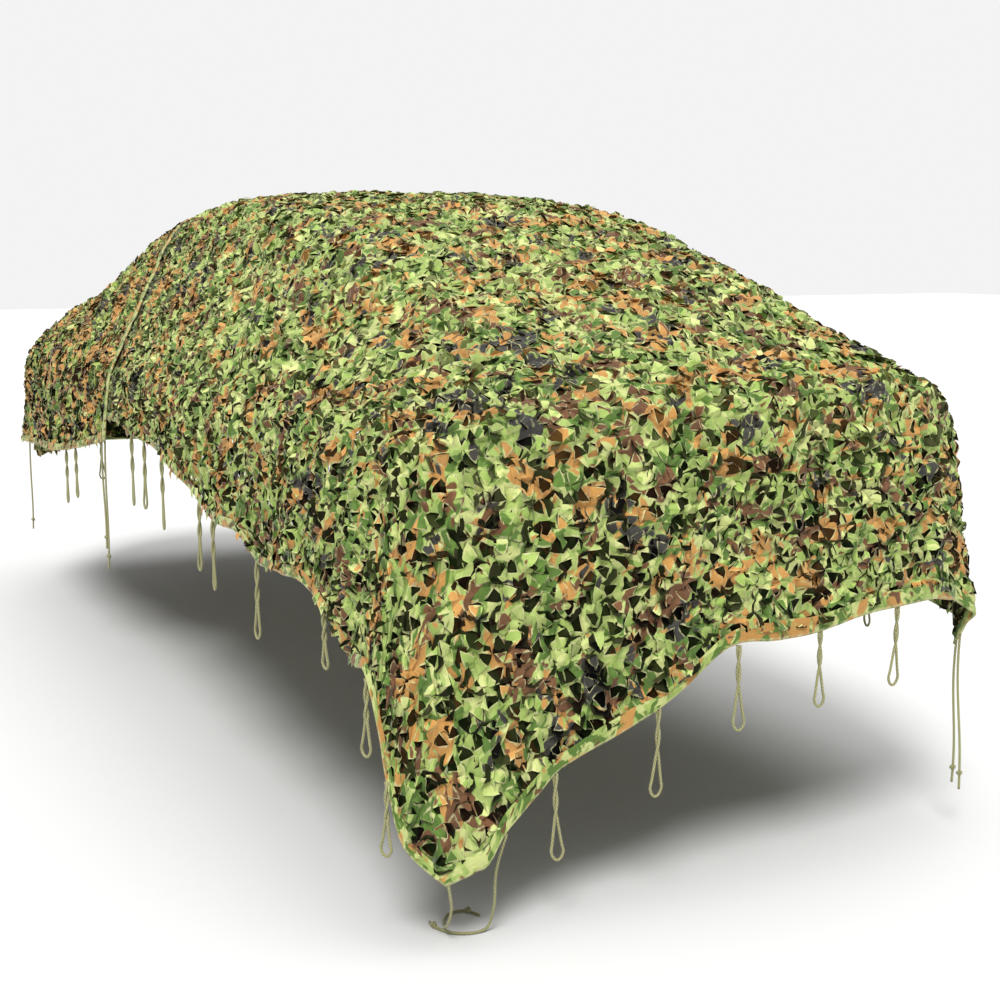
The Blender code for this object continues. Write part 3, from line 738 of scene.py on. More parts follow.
def soft_noise(s, t, size, seed):
    """Smooth noise from -1 to 1 over flat places, with lumps of one size."""
    table = np.random.default_rng(seed).uniform(-1, 1, (NOISE_TABLE, NOISE_TABLE))
    u, v = s / size + NOISE_START, t / size + NOISE_START
    left, low = np.floor(u).astype(int), np.floor(v).astype(int)
    du, dv = u - left, v - low
    du, dv = du * du * (3 - 2 * du), dv * dv * (3 - 2 * dv)
    left, right = left % NOISE_TABLE, (left + 1) % NOISE_TABLE
    low, high = low % NOISE_TABLE, (low + 1) % NOISE_TABLE
    bottom = table[left, low] * (1 - du) + table[right, low] * du
    top = table[left, high] * (1 - du) + table[right, high] * du
    return bottom * (1 - dv) + top * dv


def new_piece(name, points, faces, material, flat=None, values=None):
    """A smooth mesh object on the body, with its flat places as UVs and its values as attributes."""
    mesh = bpy.data.meshes.new(name)
    mesh.from_pydata(np.asarray(points, float).tolist(), [], faces)
    if flat is not None:
        corners = np.empty(len(mesh.loops), np.int32)
        mesh.loops.foreach_get("vertex_index", corners)
        layer = mesh.uv_layers.new(name="flat_place")
        layer.data.foreach_set("uv", np.asarray(flat, np.float32)[corners].ravel())
    for key, numbers in (values or {}).items():
        attribute = mesh.attributes.new(key, "FLOAT", "POINT")
        attribute.data.foreach_set("value", np.asarray(numbers, np.float32))
    mesh.materials.append(material)
    mesh.shade_smooth()
    mesh.update()
    piece = bpy.data.objects.new(name, mesh)
    bpy.context.collection.objects.link(piece)
    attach(piece, "root")
    return piece


class Value:
    """A shader socket. Arithmetic on it adds Math nodes to its tree."""

    def __init__(self, tree, socket):
        self.tree = tree
        self.socket = socket

    @classmethod
    def add(cls, tree, kind, settings=None, values=None, output=0):
        """Any node: its settings first, then the values or links of its sockets."""
        node = tree.nodes.new(kind)
        for name, setting in (settings or {}).items():
            setattr(node, name, setting)
        for key, value in (values or {}).items():
            if isinstance(value, Value):
                tree.links.new(value.socket, node.inputs[key])
            else:
                node.inputs[key].default_value = value
        return cls(tree, node.outputs[output])

    def math(self, operation, *terms):
        return Value.add(self.tree, "ShaderNodeMath", {"operation": operation}, dict(enumerate(terms)))

    def __add__(self, other):
        return self.math("ADD", self, other)

    def __radd__(self, other):
        return self.math("ADD", other, self)

    def __sub__(self, other):
        return self.math("SUBTRACT", self, other)

    def __rsub__(self, other):
        return self.math("SUBTRACT", other, self)

    def __mul__(self, other):
        return self.math("MULTIPLY", self, other)

    def __rmul__(self, other):
        return self.math("MULTIPLY", other, self)

    def step(self, low, high):
        """0 under low, 1 over high, and a straight ramp between them."""
        return Value.add(self.tree, "ShaderNodeMapRange", {"clamp": True},
                         {"Value": self, "From Min": low, "From Max": high})


def blend(tree, kind, share, base, top):
    return Value.add(tree, "ShaderNodeMix", {"data_type": "RGBA", "blend_type": kind},
                     {0: share, 6: base, 7: top}, 2)


def tint(share, base, top):
    """Base colour turned towards the top colour by a share."""
    return blend(share.tree, "MIX", share, base, top)


def multiply(colour, other):
    return blend(colour.tree, "MULTIPLY", 1.0, colour, other)


def noise(place, grain):
    """Noise over a place, moved aside so that each use differs."""
    moved = Value.add(place.tree, "ShaderNodeVectorMath", {"operation": "ADD"},
                      {0: place, 1: tuple(grain.shift * part for part in SHIFT_WAY)})
    return Value.add(place.tree, "ShaderNodeTexNoise", {},
                     {"Vector": moved, "Scale": grain.scale, "Detail": grain.detail,
                      "Distortion": grain.distortion})


def ramp(value, limits):
    """How much of a mark shows where a value lies between its limits."""
    shown = value.step(limits.low, limits.high)
    return shown if limits.share == 1 else shown * limits.share


def relief(broad, fine, kind):
    """Normals of a broad and a finer height."""
    return Value.add(broad.tree, "ShaderNodeBump", {}, {
        "Strength": kind.strength, "Distance": kind.distance, "Height": broad + fine * kind.fine})


def attribute(tree, name):
    return Value.add(tree, "ShaderNodeAttribute", {"attribute_name": name}, output="Fac")


def start_material(name):
    """A new node material, its tree and its shader node."""
    material = bpy.data.materials.new(name)
    material.use_nodes = True
    return material, material.node_tree, material.node_tree.nodes["Principled BSDF"]


def feed(shader, name, value):
    shader.id_data.links.new(value.socket, shader.inputs[name])


# Noises of the materials
Grain = namedtuple("Grain", "scale detail shift distortion", defaults=(0.0, 0.0))
MOTTLE = Grain(45.0, 3.0, 61.0)
EDGE_BREAKS = Grain(60.0, 2.0, 91.0)
CRUMPLE = Grain(95.0, 3.0, 71.0, 0.4)
WEAVE = Grain(900.0, 1.0, 81.0)
CORD_WEAR = Grain(60.0, 3.0, 5.0)
STRING_WEAR = Grain(40.0, 2.0, 9.0)
FLOOR_CLOUD = Grain(0.8, 3.0)
PRINT_DETAIL = 2.5
PRINT_DISTORTION = 0.6
SHIFT_WAY = (1.0, 0.7, 0.3)

# Where a noise or a mark starts to show and shows in full, and the share that it has then
Ramp = namedtuple("Ramp", "low high share", defaults=(1.0,))
STRAW_RAMP = Ramp(0.25, 0.60, 0.75)
EDGE_BREAKS_RAMP = Ramp(0.36, 0.60)
RIM_RAMP = Ramp(0.70, 0.82, 0.75)
GROOVE_RAMP = Ramp(0.0, 0.7)
WORN_RAMP = Ramp(0.45, 0.75, 0.5)
STRING_RAMP = Ramp(0.3, 0.7)
FLOOR_RAMP = Ramp(0.2, 0.8, 0.08)

# A value's least, and how much a noise adds to it
Spread = namedtuple("Spread", "least more")
CLOTH_FADE = Spread(0.80, 0.4)
CLOTH_ROUGH = Spread(0.58, 0.25)
CORD_ROUGH = Spread(0.7, 0.25)
STRING_ROUGH = Spread(0.7, 0.2)
FLOOR_ROUGH = 0.9

# Relief: how strong and how high it is, and the share of the finer noise in it
Relief = namedtuple("Relief", "strength distance fine")
CLOTH_RELIEF = Relief(0.55, 0.006, 0.06)
CORD_RELIEF = Relief(0.8, 0.0012, 0.3)

# Fixed colours of cord, string and floor. The cord's groove colour is painted shade between its plies
GROOVE_SHADE = (0.14, 0.15, 0.05, 1)
CORD_WORN = (0.62, 0.60, 0.36, 1)
STRING_DARK = (0.10, 0.13, 0.05, 1)
STRING_PALE = (0.26, 0.30, 0.13, 1)
FLOOR_GREY = (0.6, 0.6, 0.6, 1)

# Print of the cloth: where each colour lies over the ones before it
Blotch = namedtuple("Blotch", "colour scale shift low high")
REAR_PRINT = [
    Blotch("leaf_green", 15.0, 3.1, 0.525, 0.540),
    Blotch("straw", 18.0, 7.7, 0.565, 0.585),
    Blotch("tan", 13.0, 12.3, 0.556, 0.571),
    Blotch("bark", 17.0, 17.9, 0.595, 0.610),
    Blotch("charcoal", 13.0, 23.2, 0.622, 0.637),
]
FRONT_PRINT = [
    Blotch("leaf_green", 13.0, 33.1, 0.500, 0.515),
    Blotch("straw", 16.0, 37.7, 0.630, 0.645),
    Blotch("tan", 12.0, 42.3, 0.510, 0.525),
    Blotch("bark", 15.0, 47.9, 0.575, 0.590),
    Blotch("charcoal", 13.0, 53.2, 0.626, 0.641),
]
HEM_PRINT = [
    Blotch("leaf_green", 24.0, 63.1, 0.49, 0.52),
    Blotch("straw", 28.0, 67.7, 0.52, 0.56),
    Blotch("tan", 15.0, 72.3, 0.53, 0.56),
    Blotch("bark", 24.0, 77.9, 0.60, 0.62),
]

# A cord's plies, and how steeply they run round it
CORD_PLIES = 3
PLY_TURN = 120

# Specular and sheen of the cloth, and of the inner leaves' cloth, which is painted dark as shade
CLOTH_GLOSS = (0.35, 0.15)
SHADED_GLOSS = (0.05, 0.0)
SHEEN_ROUGH = 0.5
CORD_SHEEN = 0.2


def cloth_material(name, ground, blotches, gloss=CLOTH_GLOSS):
    """Printed, crumpled cloth with pale cut edges, partly a painted highlight, and painted light and shade
    from its shade attribute.
    """
    net = bpy.context.scene.net_settings
    material, tree, shader = start_material(name)
    place = Value.add(tree, "ShaderNodeUVMap", {"uv_map": "flat_place"})
    mottle = noise(place, MOTTLE)
    tone = attribute(tree, "tone")
    pale = tone * mottle.step(STRAW_RAMP.low, STRAW_RAMP.high) * STRAW_RAMP.share
    colour = tint(pale, getattr(net, ground), net.straw)
    for blotch in blotches:
        grain = Grain(blotch.scale, PRINT_DETAIL, blotch.shift, PRINT_DISTORTION)
        patch = noise(place, grain).step(blotch.low, blotch.high)
        colour = tint(patch, colour, getattr(net, blotch.colour))
    # Pale cut edges, partly a painted highlight, broken up along their length by noise
    rim = attribute(tree, "rim").step(RIM_RAMP.low, RIM_RAMP.high) * ramp(noise(place, EDGE_BREAKS), EDGE_BREAKS_RAMP)
    colour = tint(rim * RIM_RAMP.share, colour, net.raw_edge_and_highlight)
    # Painted light and shade: the shade attribute, times a random mottle
    shade_and_mottle = attribute(tree, "shade") * (CLOTH_FADE.least + mottle * CLOTH_FADE.more)
    grey = Value.add(tree, "ShaderNodeCombineColor", {}, {0: shade_and_mottle, 1: shade_and_mottle, 2: shade_and_mottle})
    feed(shader, "Base Color", multiply(colour, grey))
    feed(shader, "Roughness", CLOTH_ROUGH.least + mottle * CLOTH_ROUGH.more)
    feed(shader, "Normal", relief(noise(place, CRUMPLE), noise(place, WEAVE), CLOTH_RELIEF))
    shader.inputs["Specular IOR Level"].default_value = gloss[0]
    shader.inputs["Sheen Weight"].default_value = gloss[1]
    shader.inputs["Sheen Roughness"].default_value = SHEEN_ROUGH
    return material


def cord_material():
    """Twisted cord: three plies that run round it, with painted shade in the grooves between them, a little
    fuzzy and faded.
    """
    cords = bpy.context.scene.cord_settings
    material, tree, shader = start_material("tie_cord")
    place = Value.add(tree, "ShaderNodeUVMap", {"uv_map": "flat_place"})
    parts = Value.add(tree, "ShaderNodeSeparateXYZ", {}, {0: place})
    along = Value(tree, parts.socket.node.outputs["Y"])
    wound = parts * CORD_PLIES + along * PLY_TURN
    crossing = wound.math("FRACT", wound) * 2 - 1
    ridge = 1 - crossing.math("ABSOLUTE", crossing)
    worn = noise(place, CORD_WEAR)
    # Painted shade: the grooves between the plies are darker
    colour = tint(1 - ramp(ridge, GROOVE_RAMP), cords.colour, GROOVE_SHADE)
    feed(shader, "Base Color", tint(ramp(worn, WORN_RAMP), colour, CORD_WORN))
    feed(shader, "Roughness", CORD_ROUGH.least + worn * CORD_ROUGH.more)
    feed(shader, "Normal", relief(ridge, worn, CORD_RELIEF))
    shader.inputs["Sheen Weight"].default_value = CORD_SHEEN
    return material


def string_material():
    """Thin dark green backing string."""
    material, tree, shader = start_material("backing_string")
    place = Value.add(tree, "ShaderNodeTexCoord", output="Object")
    worn = noise(place, STRING_WEAR)
    feed(shader, "Base Color", tint(ramp(worn, STRING_RAMP), STRING_DARK, STRING_PALE))
    feed(shader, "Roughness", STRING_ROUGH.least + worn * STRING_ROUGH.more)
    return material


def between(low, high, cells, rng):
    return low + (high - low) * rng.uniform(0, 1, cells)


def ruffle_lift(s, t, amount, seed):
    """In and out of the cloth: broad lumps and gathers."""
    broad, small = RUFFLE_LUMPS
    return amount * (RUFFLE_SHARE * soft_noise(s, t, broad, seed)
                     + RUFFLE_SHARE * soft_noise(s, t, small, seed + 1))


def stretch(cloth, s, t):
    """How the flat places are stretched where they lie on the cloth: across, sideways, and along."""
    (left, _), (right, _) = cloth.at(s - PROBE, t), cloth.at(s + PROBE, t)
    (near, _), (far, _) = cloth.at(s, t - PROBE), cloth.at(s, t + PROBE)
    over, ahead = (right - left) / (2 * PROBE), (far - near) / (2 * PROBE)
    wide = np.linalg.norm(over, axis=1)
    slide = (over * ahead).sum(axis=1) / wide
    tall = np.sqrt(np.maximum((ahead ** 2).sum(axis=1) - slide ** 2, LEAST_STRETCH ** 2))
    return wide[:, None], slide[:, None], tall[:, None]


class Cells:
    """The cells of a panel, laid like bricks: where each lies, and how its hole is turned and leans."""

    def __init__(self, cloth, clear, pitch, rng):
        start, end = cloth.span()
        start, end = start + clear[0], end - clear[1]
        rows = int((end - start) / pitch) + 1
        step = (end - start) / rows
        half = int(np.abs(cloth.across).max() / pitch) + 2
        row, column = np.meshgrid(np.arange(rows), np.arange(-half, half + 1), indexing="ij")
        self.ks, self.kt = (2 * column + row % 2).ravel(), (2 * row + 1).ravel()
        s, t = self.ks * pitch / 2, start + self.kt * step / 2
        left, right = cloth.sides(t)
        kept = (s > left + pitch * SIDE_SHARE) & (s < right - pitch * SIDE_SHARE)
        self.ks, self.kt = self.ks[kept], self.kt[kept]
        self.start, self.step, self.pitch = start, step, pitch
        self.count = count = len(self.ks)
        self.quarter = rng.choice(4, count, p=QUARTER_SHARES)
        turn = -self.quarter * math.pi / 2 + rng.normal(0, CELL_TURN, count)
        self.cos, self.sin = np.cos(turn)[:, None], np.sin(turn)[:, None]
        self.s = (s[kept] + rng.normal(0, CELL_SHIFT, count) * pitch)[:, None]
        self.t = (t[kept] + rng.normal(0, CELL_SHIFT, count) * pitch)[:, None]
        self.lean = rng.normal(0, CELL_LEAN, (count, 2))
        self.wide, self.slide, self.tall = stretch(cloth, self.s[:, 0], self.t[:, 0])
        fit = np.clip(np.sqrt(self.wide * self.tall), *CELL_FIT)
        self.size = rng.uniform(*CELL_SIZES, count)[:, None] * fit * pitch

    def rims(self):
        """Half-pitch places of the rims' points, each point once, and which of them each cell has."""
        rim = np.array(CELL_RIM)
        keys_s = self.ks[:, None] + (2 * rim[:, 0]).astype(int)
        keys_t = self.kt[:, None] + (2 * rim[:, 1]).astype(int)
        joined = keys_s * KEY_STRIDE + keys_t
        _, first, index = np.unique(joined, return_index=True, return_inverse=True)
        return keys_s.ravel()[first], keys_t.ravel()[first], index.reshape(self.count, len(rim))

    def place(self, x, y, which=slice(None)):
        """Flat places of points given in cell widths, so that they keep their shape on the cloth."""
        x, y = x * self.size[which], y * self.size[which]
        cos, sin = self.cos[which], self.sin[which]
        t = (x * sin + y * cos) / self.tall[which]
        s = (x * cos - y * sin - self.slide[which] * t) / self.wide[which]
        return self.s[which] + s, self.t[which] + t


class Cloud:
    """Vertices and faces gathered for one piece: flat place, lift, print place, and what colours them."""

    def __init__(self):
        self.columns = {key: [] for key in ("s", "t", "lift", "print_s", "print_t", "rim", "shade", "tone")}
        self.faces = []
        self.count = 0

    def add(self, **columns):
        """Adds vertices, and gives their numbers in the shape of the first column."""
        shape = columns["s"].shape
        for key, held in self.columns.items():
            held.append(np.broadcast_to(columns[key], shape).ravel())
        numbers = self.count + np.arange(columns["s"].size).reshape(shape)
        self.count += columns["s"].size
        return numbers

    def __getitem__(self, key):
        return np.concatenate(self.columns[key])


def add_leaves(cloud, cells, which, leaf, hinge, opening, rng, lit=1.0):
    """Leaves bent about their hinge, twisted, creased and curled, with painted light and shade: a random
    brightness for each leaf, scaled by lit.
    """
    count = len(which)
    # Painted light and shade: a random brightness for each leaf
    shade = between(opening.dark, opening.light, count, rng) * lit
    bend = np.radians(between(opening.least, opening.most, count, rng))
    curl = opening.curl + rng.normal(0, opening.spread, count)
    twist, crease = rng.normal(0, opening.spread, count), rng.normal(0, opening.spread / CREASE_PART, count)
    long, broad = rng.uniform(*leaf.long, count), rng.uniform(*leaf.broad, count)
    x, y, rise, cut, pale = [], [], [], [], []
    height, depth, row_y = np.zeros(count), 0.0, np.full(count, HINGE_LINE)
    for row in [*leaf.rows, LeafRow(0, leaf.tip)]:
        step = (row.depth - depth) * long
        row_y, height = row_y - step * np.cos(bend), height + step * np.sin(bend)
        bend, depth = bend + curl, row.depth
        for side in (LEAF_SIDES if row.half_width else (0,)):
            x.append(side * row.half_width * broad + twist * TWIST_SHIFT)
            y.append(row_y)
            rise.append(height + side * row.half_width * twist + abs(side) * crease)
            cut.append(np.full(count, HINGE_LINE - row.depth))
            pale.append(1.0 if side or not row.half_width else 0.0)
    x, y, cut = np.stack(x, 1), np.stack(y, 1), np.stack(cut, 1)
    hinge_s, hinge_t, hinge_lift = (part[which][:, :len(LEAF_SIDES)] for part in hinge)
    s, t = cells.place(x, y, which)
    print_s, print_t = cells.place(x, cut, which)
    moved = rng.normal(0, PRINT_SHIFT, (2, count, 1))
    leaning = x * cells.lean[which, :1] + (y - HINGE_LINE) * cells.lean[which, 1:]
    lift = (np.stack(rise, 1) + leaning) * cells.pitch + hinge_lift.mean(axis=1, keepdims=True)
    numbers = cloud.add(
        s=np.hstack([hinge_s, s]), t=np.hstack([hinge_t, t]), lift=np.hstack([hinge_lift, lift]),
        print_s=np.hstack([hinge_s, print_s]) + moved[0], print_t=np.hstack([hinge_t, print_t]) + moved[1],
        rim=np.array([0.0] * len(LEAF_SIDES) + pale), shade=shade[:, None],
        tone=rng.uniform(0, 1, count)[:, None])
    width = len(LEAF_SIDES)
    strips = [numbers[:, start:start + width] for start in range(0, numbers.shape[1] - 1, width)]
    for side in range(width - 1):
        for upper, lower in zip(strips, strips[1:]):
            cloud.faces.append(np.stack([upper[:, side], lower[:, side], lower[:, side + 1],
                                         upper[:, side + 1]], 1))
        cloud.faces.append(np.stack([strips[-1][:, side], numbers[:, -1], strips[-1][:, side + 1]], 1))


def leaf_net(panel, cloth, seed, shadow):
    """The leaf-cut cloth: one welded net of cells, each with its hole, and the leaves hinged in them."""
    net = bpy.context.scene.net_settings
    pitch, amount = net.leaf_pitch, net.ruffle
    rng = np.random.default_rng(seed)
    clear = END_CLEAR[panel]
    cells = Cells(cloth, clear, pitch, rng)
    cloud, inner = Cloud(), Cloud()

    # Rims, shared between neighbours
    key_s, key_t, rim_index = cells.rims()
    count = len(key_s)
    rim_s = key_s * pitch / 2 + rng.normal(0, RIM_STRAY, count) * pitch
    rim_t = cells.start + key_t * cells.step / 2 + rng.normal(0, RIM_STRAY, count) * pitch
    # Painted light and shade: a random brightness for each rim point
    cloud.add(s=rim_s, t=rim_t, lift=rng.normal(0, RIM_LIFT, count) * amount, print_s=rim_s, print_t=rim_t,
              rim=0.0, shade=rng.uniform(*RIM_LIGHT, count), tone=rng.uniform(0, 1, count))

    # Holes: the ring of cloth round each lies between its rim and its hole
    hole = np.array(CELL_HOLE) + rng.normal(0, HOLE_STRAY, (cells.count, len(CELL_HOLE), 2))
    hole_s, hole_t = cells.place(hole[:, :, 0], hole[:, :, 1])
    leaning = (hole[:, :, 0] * cells.lean[:, :1] + hole[:, :, 1] * cells.lean[:, 1:]) * pitch
    hole_lift = leaning + rng.normal(0, HOLE_LIFT, hole_s.shape) * amount
    # Painted light and shade on the rings: a brightness for each cell and each point
    light = rng.uniform(*CELL_LIGHT, (cells.count, 1)) * rng.uniform(*POINT_LIGHT, hole_s.shape)
    ring = cloud.add(s=hole_s, t=hole_t, lift=hole_lift, print_s=hole_s, print_t=hole_t, rim=1.0,
                     shade=light, tone=rng.uniform(0, 1, hole_s.shape))
    order = np.arange(len(CELL_HOLE))
    ring = np.take_along_axis(ring, (order - 2 * cells.quarter[:, None]) % len(order), axis=1)
    after = (order + 1) % len(order)
    ring_faces = np.stack([rim_index, rim_index[:, after], ring[:, after], ring], 2)[:, :, ::-1]
    cloud.faces.append(ring_faces.reshape(-1, 4))

    # Leaves: an inner one inside every hole, painted dark as the shade seen through it, and an open one
    # outside some of them
    places = (hole_s, hole_t, hole_lift)
    heights = cloth.at(cells.s[:, 0], cells.t[:, 0])[0][:, 2] - level(0)
    lies = np.array(LIES)
    outer_share = np.interp(heights, lies[:, 0], lies[:, 1])
    # Painted shade of the inner leaves, by height
    inner_light = np.interp(heights, lies[:, 0], lies[:, 2])
    pick = rng.uniform(0, 1, cells.count) / outer_share
    everywhere = np.arange(cells.count)
    add_leaves(inner, cells, everywhere, INNER_LEAF, places, INNER, rng, inner_light)
    passed = 0.0
    for opening in OUTER:
        which = np.flatnonzero((pick >= passed) & (pick < passed + opening.share))
        passed += opening.share
        add_leaves(cloud, cells, which, OUTER_LEAF, places, opening, rng)

    def laid(gathered, name, material):
        """A piece of the gathered vertices, laid on the panel inside its hem."""
        start, end = cloth.span()
        t = np.clip(gathered["t"], start + clear[0], end - clear[1])
        left, right = cloth.sides(t)
        s = np.clip(gathered["s"], left + SIDE_CLEAR, right - SIDE_CLEAR)
        points, normals = cloth.at(s, t)
        lift = MOST_LIFT * np.tanh(gathered["lift"] / MOST_LIFT) + ruffle_lift(s, t, amount, seed)
        points = points + normals * lift[:, None]
        lap = np.interp(gathered["t"], shadow, (1, LAP_SHADE, LAP_SHADE, 1))
        values = {"rim": gathered["rim"], "shade": gathered["shade"] * lap, "tone": gathered["tone"]}
        faces = [face for group in gathered.faces for face in group.tolist()]
        flat = np.stack([gathered["print_s"], gathered["print_t"]], 1)
        piece = new_piece(name, points, faces, shared_material(material), flat, values)
        piece.data.set_sharp_from_angle(angle=SHARP_FOLD)
        return piece

    laid(inner, f"{panel}_inner_leaves", f"{panel}_shaded")
    return laid(cloud, f"{panel}_leaves", f"{panel}_print")


def joined_tubes(paths, radius, sides):
    """Points and faces of thin open tubes along many paths."""
    points, faces = [], []
    turn = np.arange(sides) * 2 * math.pi / sides
    for path, normals in paths:
        ahead = np.gradient(path, axis=0)
        ahead /= np.linalg.norm(ahead, axis=1, keepdims=True)
        aside = np.cross(ahead, normals)
        aside /= np.linalg.norm(aside, axis=1, keepdims=True)
        up = np.cross(aside, ahead)
        ring = (aside[:, None] * np.cos(turn)[None, :, None] + up[:, None] * np.sin(turn)[None, :, None])
        base = sum(len(part) for part in points)
        points.append((path[:, None] + ring * radius).reshape(-1, 3))
        for step in range(len(path) - 1):
            for side in range(sides):
                here, there = base + step * sides, base + (step + 1) * sides
                beside = (side + 1) % sides
                faces.append((here + side, there + side, there + beside, here + beside))
    return np.concatenate(points), faces


def backing_strings(name, cloth, material):
    """The square mesh of thin strings that the leaf cloth is laid over."""
    net = bpy.context.scene.net_settings
    start, end = cloth.span()
    pitch, step = net.string_pitch, net.string_pitch / 2
    paths = []

    def add_line(s, t):
        points, normals = cloth.at(s, t)
        sag = net.string_depth + STRING_SAG.most * soft_noise(s, t, STRING_SAG.lump, STRING_SAG.seed)
        paths.append((points - normals * sag[:, None], normals))

    for t in np.arange(start + pitch, end - pitch / 2, pitch):
        left, right = cloth.sides(np.array([t]))
        s = np.arange(left[0] + step, right[0] - step / 2, step)
        add_line(s, t + STRING_STRAY.most * soft_noise(s, s, STRING_STRAY.lump, STRING_STRAY.seed))
    widest = np.abs(cloth.across).max()
    for s in np.arange(-math.floor(widest / pitch) * pitch, widest, pitch):
        t = np.arange(start + step, end - step / 2, step)
        left, right = cloth.sides(t)
        t = t[(s > left + step / 2) & (s < right - step / 2)]
        if len(t) > 2:
            add_line(np.full(len(t), s), t)
    points, faces = joined_tubes(paths, net.string_width / 2, STRING_SIDES)
    return new_piece(name, points, faces, material)


def edge_path(cloth):
    """Rows, columns and side once round a panel's edge, and which grid step leads inwards at each."""
    first, last = cloth.rows
    corners = [(first, 0), (first, COLUMNS), (last, COLUMNS), (last, 0)]
    inwards = [(1, 0), (0, -1), (-1, 0), (0, 1)]
    rows, columns, sides, turns = [], [], [], []
    for side, inward in enumerate(inwards):
        start, end = corners[side], corners[(side + 1) % 4]
        steps = EDGE_STEPS * max(abs(end[0] - start[0]), abs(end[1] - start[1]))
        before = inwards[side - 1]
        for step in range(steps):
            share = step / steps
            rows.append(start[0] + (end[0] - start[0]) * share)
            columns.append(start[1] + (end[1] - start[1]) * share)
            sides.append(side)
            turns.append((inward[0] + before[0], inward[1] + before[1]) if step == 0 else inward)
    return np.array(rows, float), np.array(columns, float), np.array(sides), np.array(turns, float)


def edge_frame(cloth):
    """Rows and sides once round a panel's edge, and the points, normals and inward directions there."""
    rows, columns, sides, turns = edge_path(cloth)
    points, normals = cloth.at_grid(rows, columns)
    beside, _ = cloth.at_grid(rows + turns[:, 0] * EDGE_PROBE, columns + turns[:, 1] * EDGE_PROBE)
    inward = beside - points
    return rows, sides, points, normals, inward / np.linalg.norm(inward, axis=1, keepdims=True)


def hem_band(panel, cloth, material, seed):
    """The folded hem once round a panel."""
    rows, sides, points, normals, inward = edge_frame(cloth)
    count, width = len(rows), len(HEM_SECTION)
    run = np.concatenate([[0], np.cumsum(np.linalg.norm(np.diff(points, axis=0), axis=1))])
    still = np.zeros(count)
    wave, flutter = (uneven.most * soft_noise(run, still, uneven.lump, seed + uneven.seed)
                     for uneven in (HEM_WAVE, HEM_FLUTTER))
    wave = np.array(HEM_WIDTHS[panel])[sides] * (1 + wave)
    rings, flat, pale = [], [], []
    for part in HEM_SECTION:
        rings.append(points + inward * (part.inward * wave)[:, None]
                     + normals * (part.lift + flutter)[:, None])
        flat.append(np.stack([run, np.full(count, part.inward * (1 if part.lift > 0 else -1))], 1))
        pale.append(np.full(count, part.pale))
    vertices = np.stack(rings, 1).reshape(-1, 3)
    faces = []
    for step in range(count):
        here, there = step * width, (step + 1) % count * width
        for part in range(width - 1):
            faces.append((here + part, there + part, there + part + 1, here + part + 1))
    flat = np.stack(flat, 1).reshape(-1, 2)
    values = {"rim": np.stack(pale, 1).ravel(), "shade": np.full(count * width, HEM_SHADE),
              "tone": np.full(count * width, HEM_TONE)}
    return new_piece(f"{panel}_hem", vertices, faces, material, flat, values)


def hem_leaves(panel, cloth, seed):
    """Cut leaves that hang over a panel's hem and break its line."""
    rows, sides, points, normals, inward = edge_frame(cloth)
    sideways = np.cross(normals, inward)
    rng = np.random.default_rng(seed)
    often = np.array(HEM_LEAVES[panel])[sides] * (rows >= REAR_ROWS)
    at = np.repeat(np.arange(len(rows)), rng.poisson(often))
    root, long, broad, bulge, lean = (rng.uniform(*limits, len(at)) for limits in HEM_LEAF)
    shift = rng.uniform(-HEM_LEAF_SHIFT, HEM_LEAF_SHIFT, len(at))
    places, flat, pale = [], [], []
    print_step, print_lean, print_bulge = HEM_LEAF_PRINT
    for down, width in [*HEM_LEAF_ROWS, (1.0, 0.0)]:
        for side in (LEAF_SIDES if width else (0,)):
            aside = shift + side * broad * width + lean * down
            depth = root - long * down
            lift = HEM_LEAF_LIFT + bulge * (1 - abs(2 * down - 1)) + HEM_LEAF_RIB * (side == 0)
            places.append(points[at] + sideways[at] * aside[:, None] + inward[at] * depth[:, None]
                          + normals[at] * lift[:, None])
            flat.append(np.stack([at * print_step + aside + lean * print_lean,
                                  depth + bulge * print_bulge], 1))
            pale.append(np.full(len(at), 1.0 if side or not width else 0.0))
    count = len(places)
    base = np.arange(len(at))[:, None] * count
    faces = [face for corners in HEM_LEAF_FACES for face in (base + np.array(corners)).tolist()]
    values = {"rim": np.stack(pale, 1).ravel(),
              # Painted light and shade: a random brightness for each hem leaf
              "shade": np.repeat(rng.uniform(*HEM_LEAF_LIGHT, len(at)), count),
              "tone": np.repeat(rng.uniform(0, 1, len(at)), count)}
    piece = new_piece(f"{panel}_hem_leaves", np.stack(places, 1).reshape(-1, 3), faces,
                      shared_material(f"{panel}_print"), np.stack(flat, 1).reshape(-1, 2), values)


def path_length(path):
    return sum((b - a).length for a, b in zip(path, path[1:]))


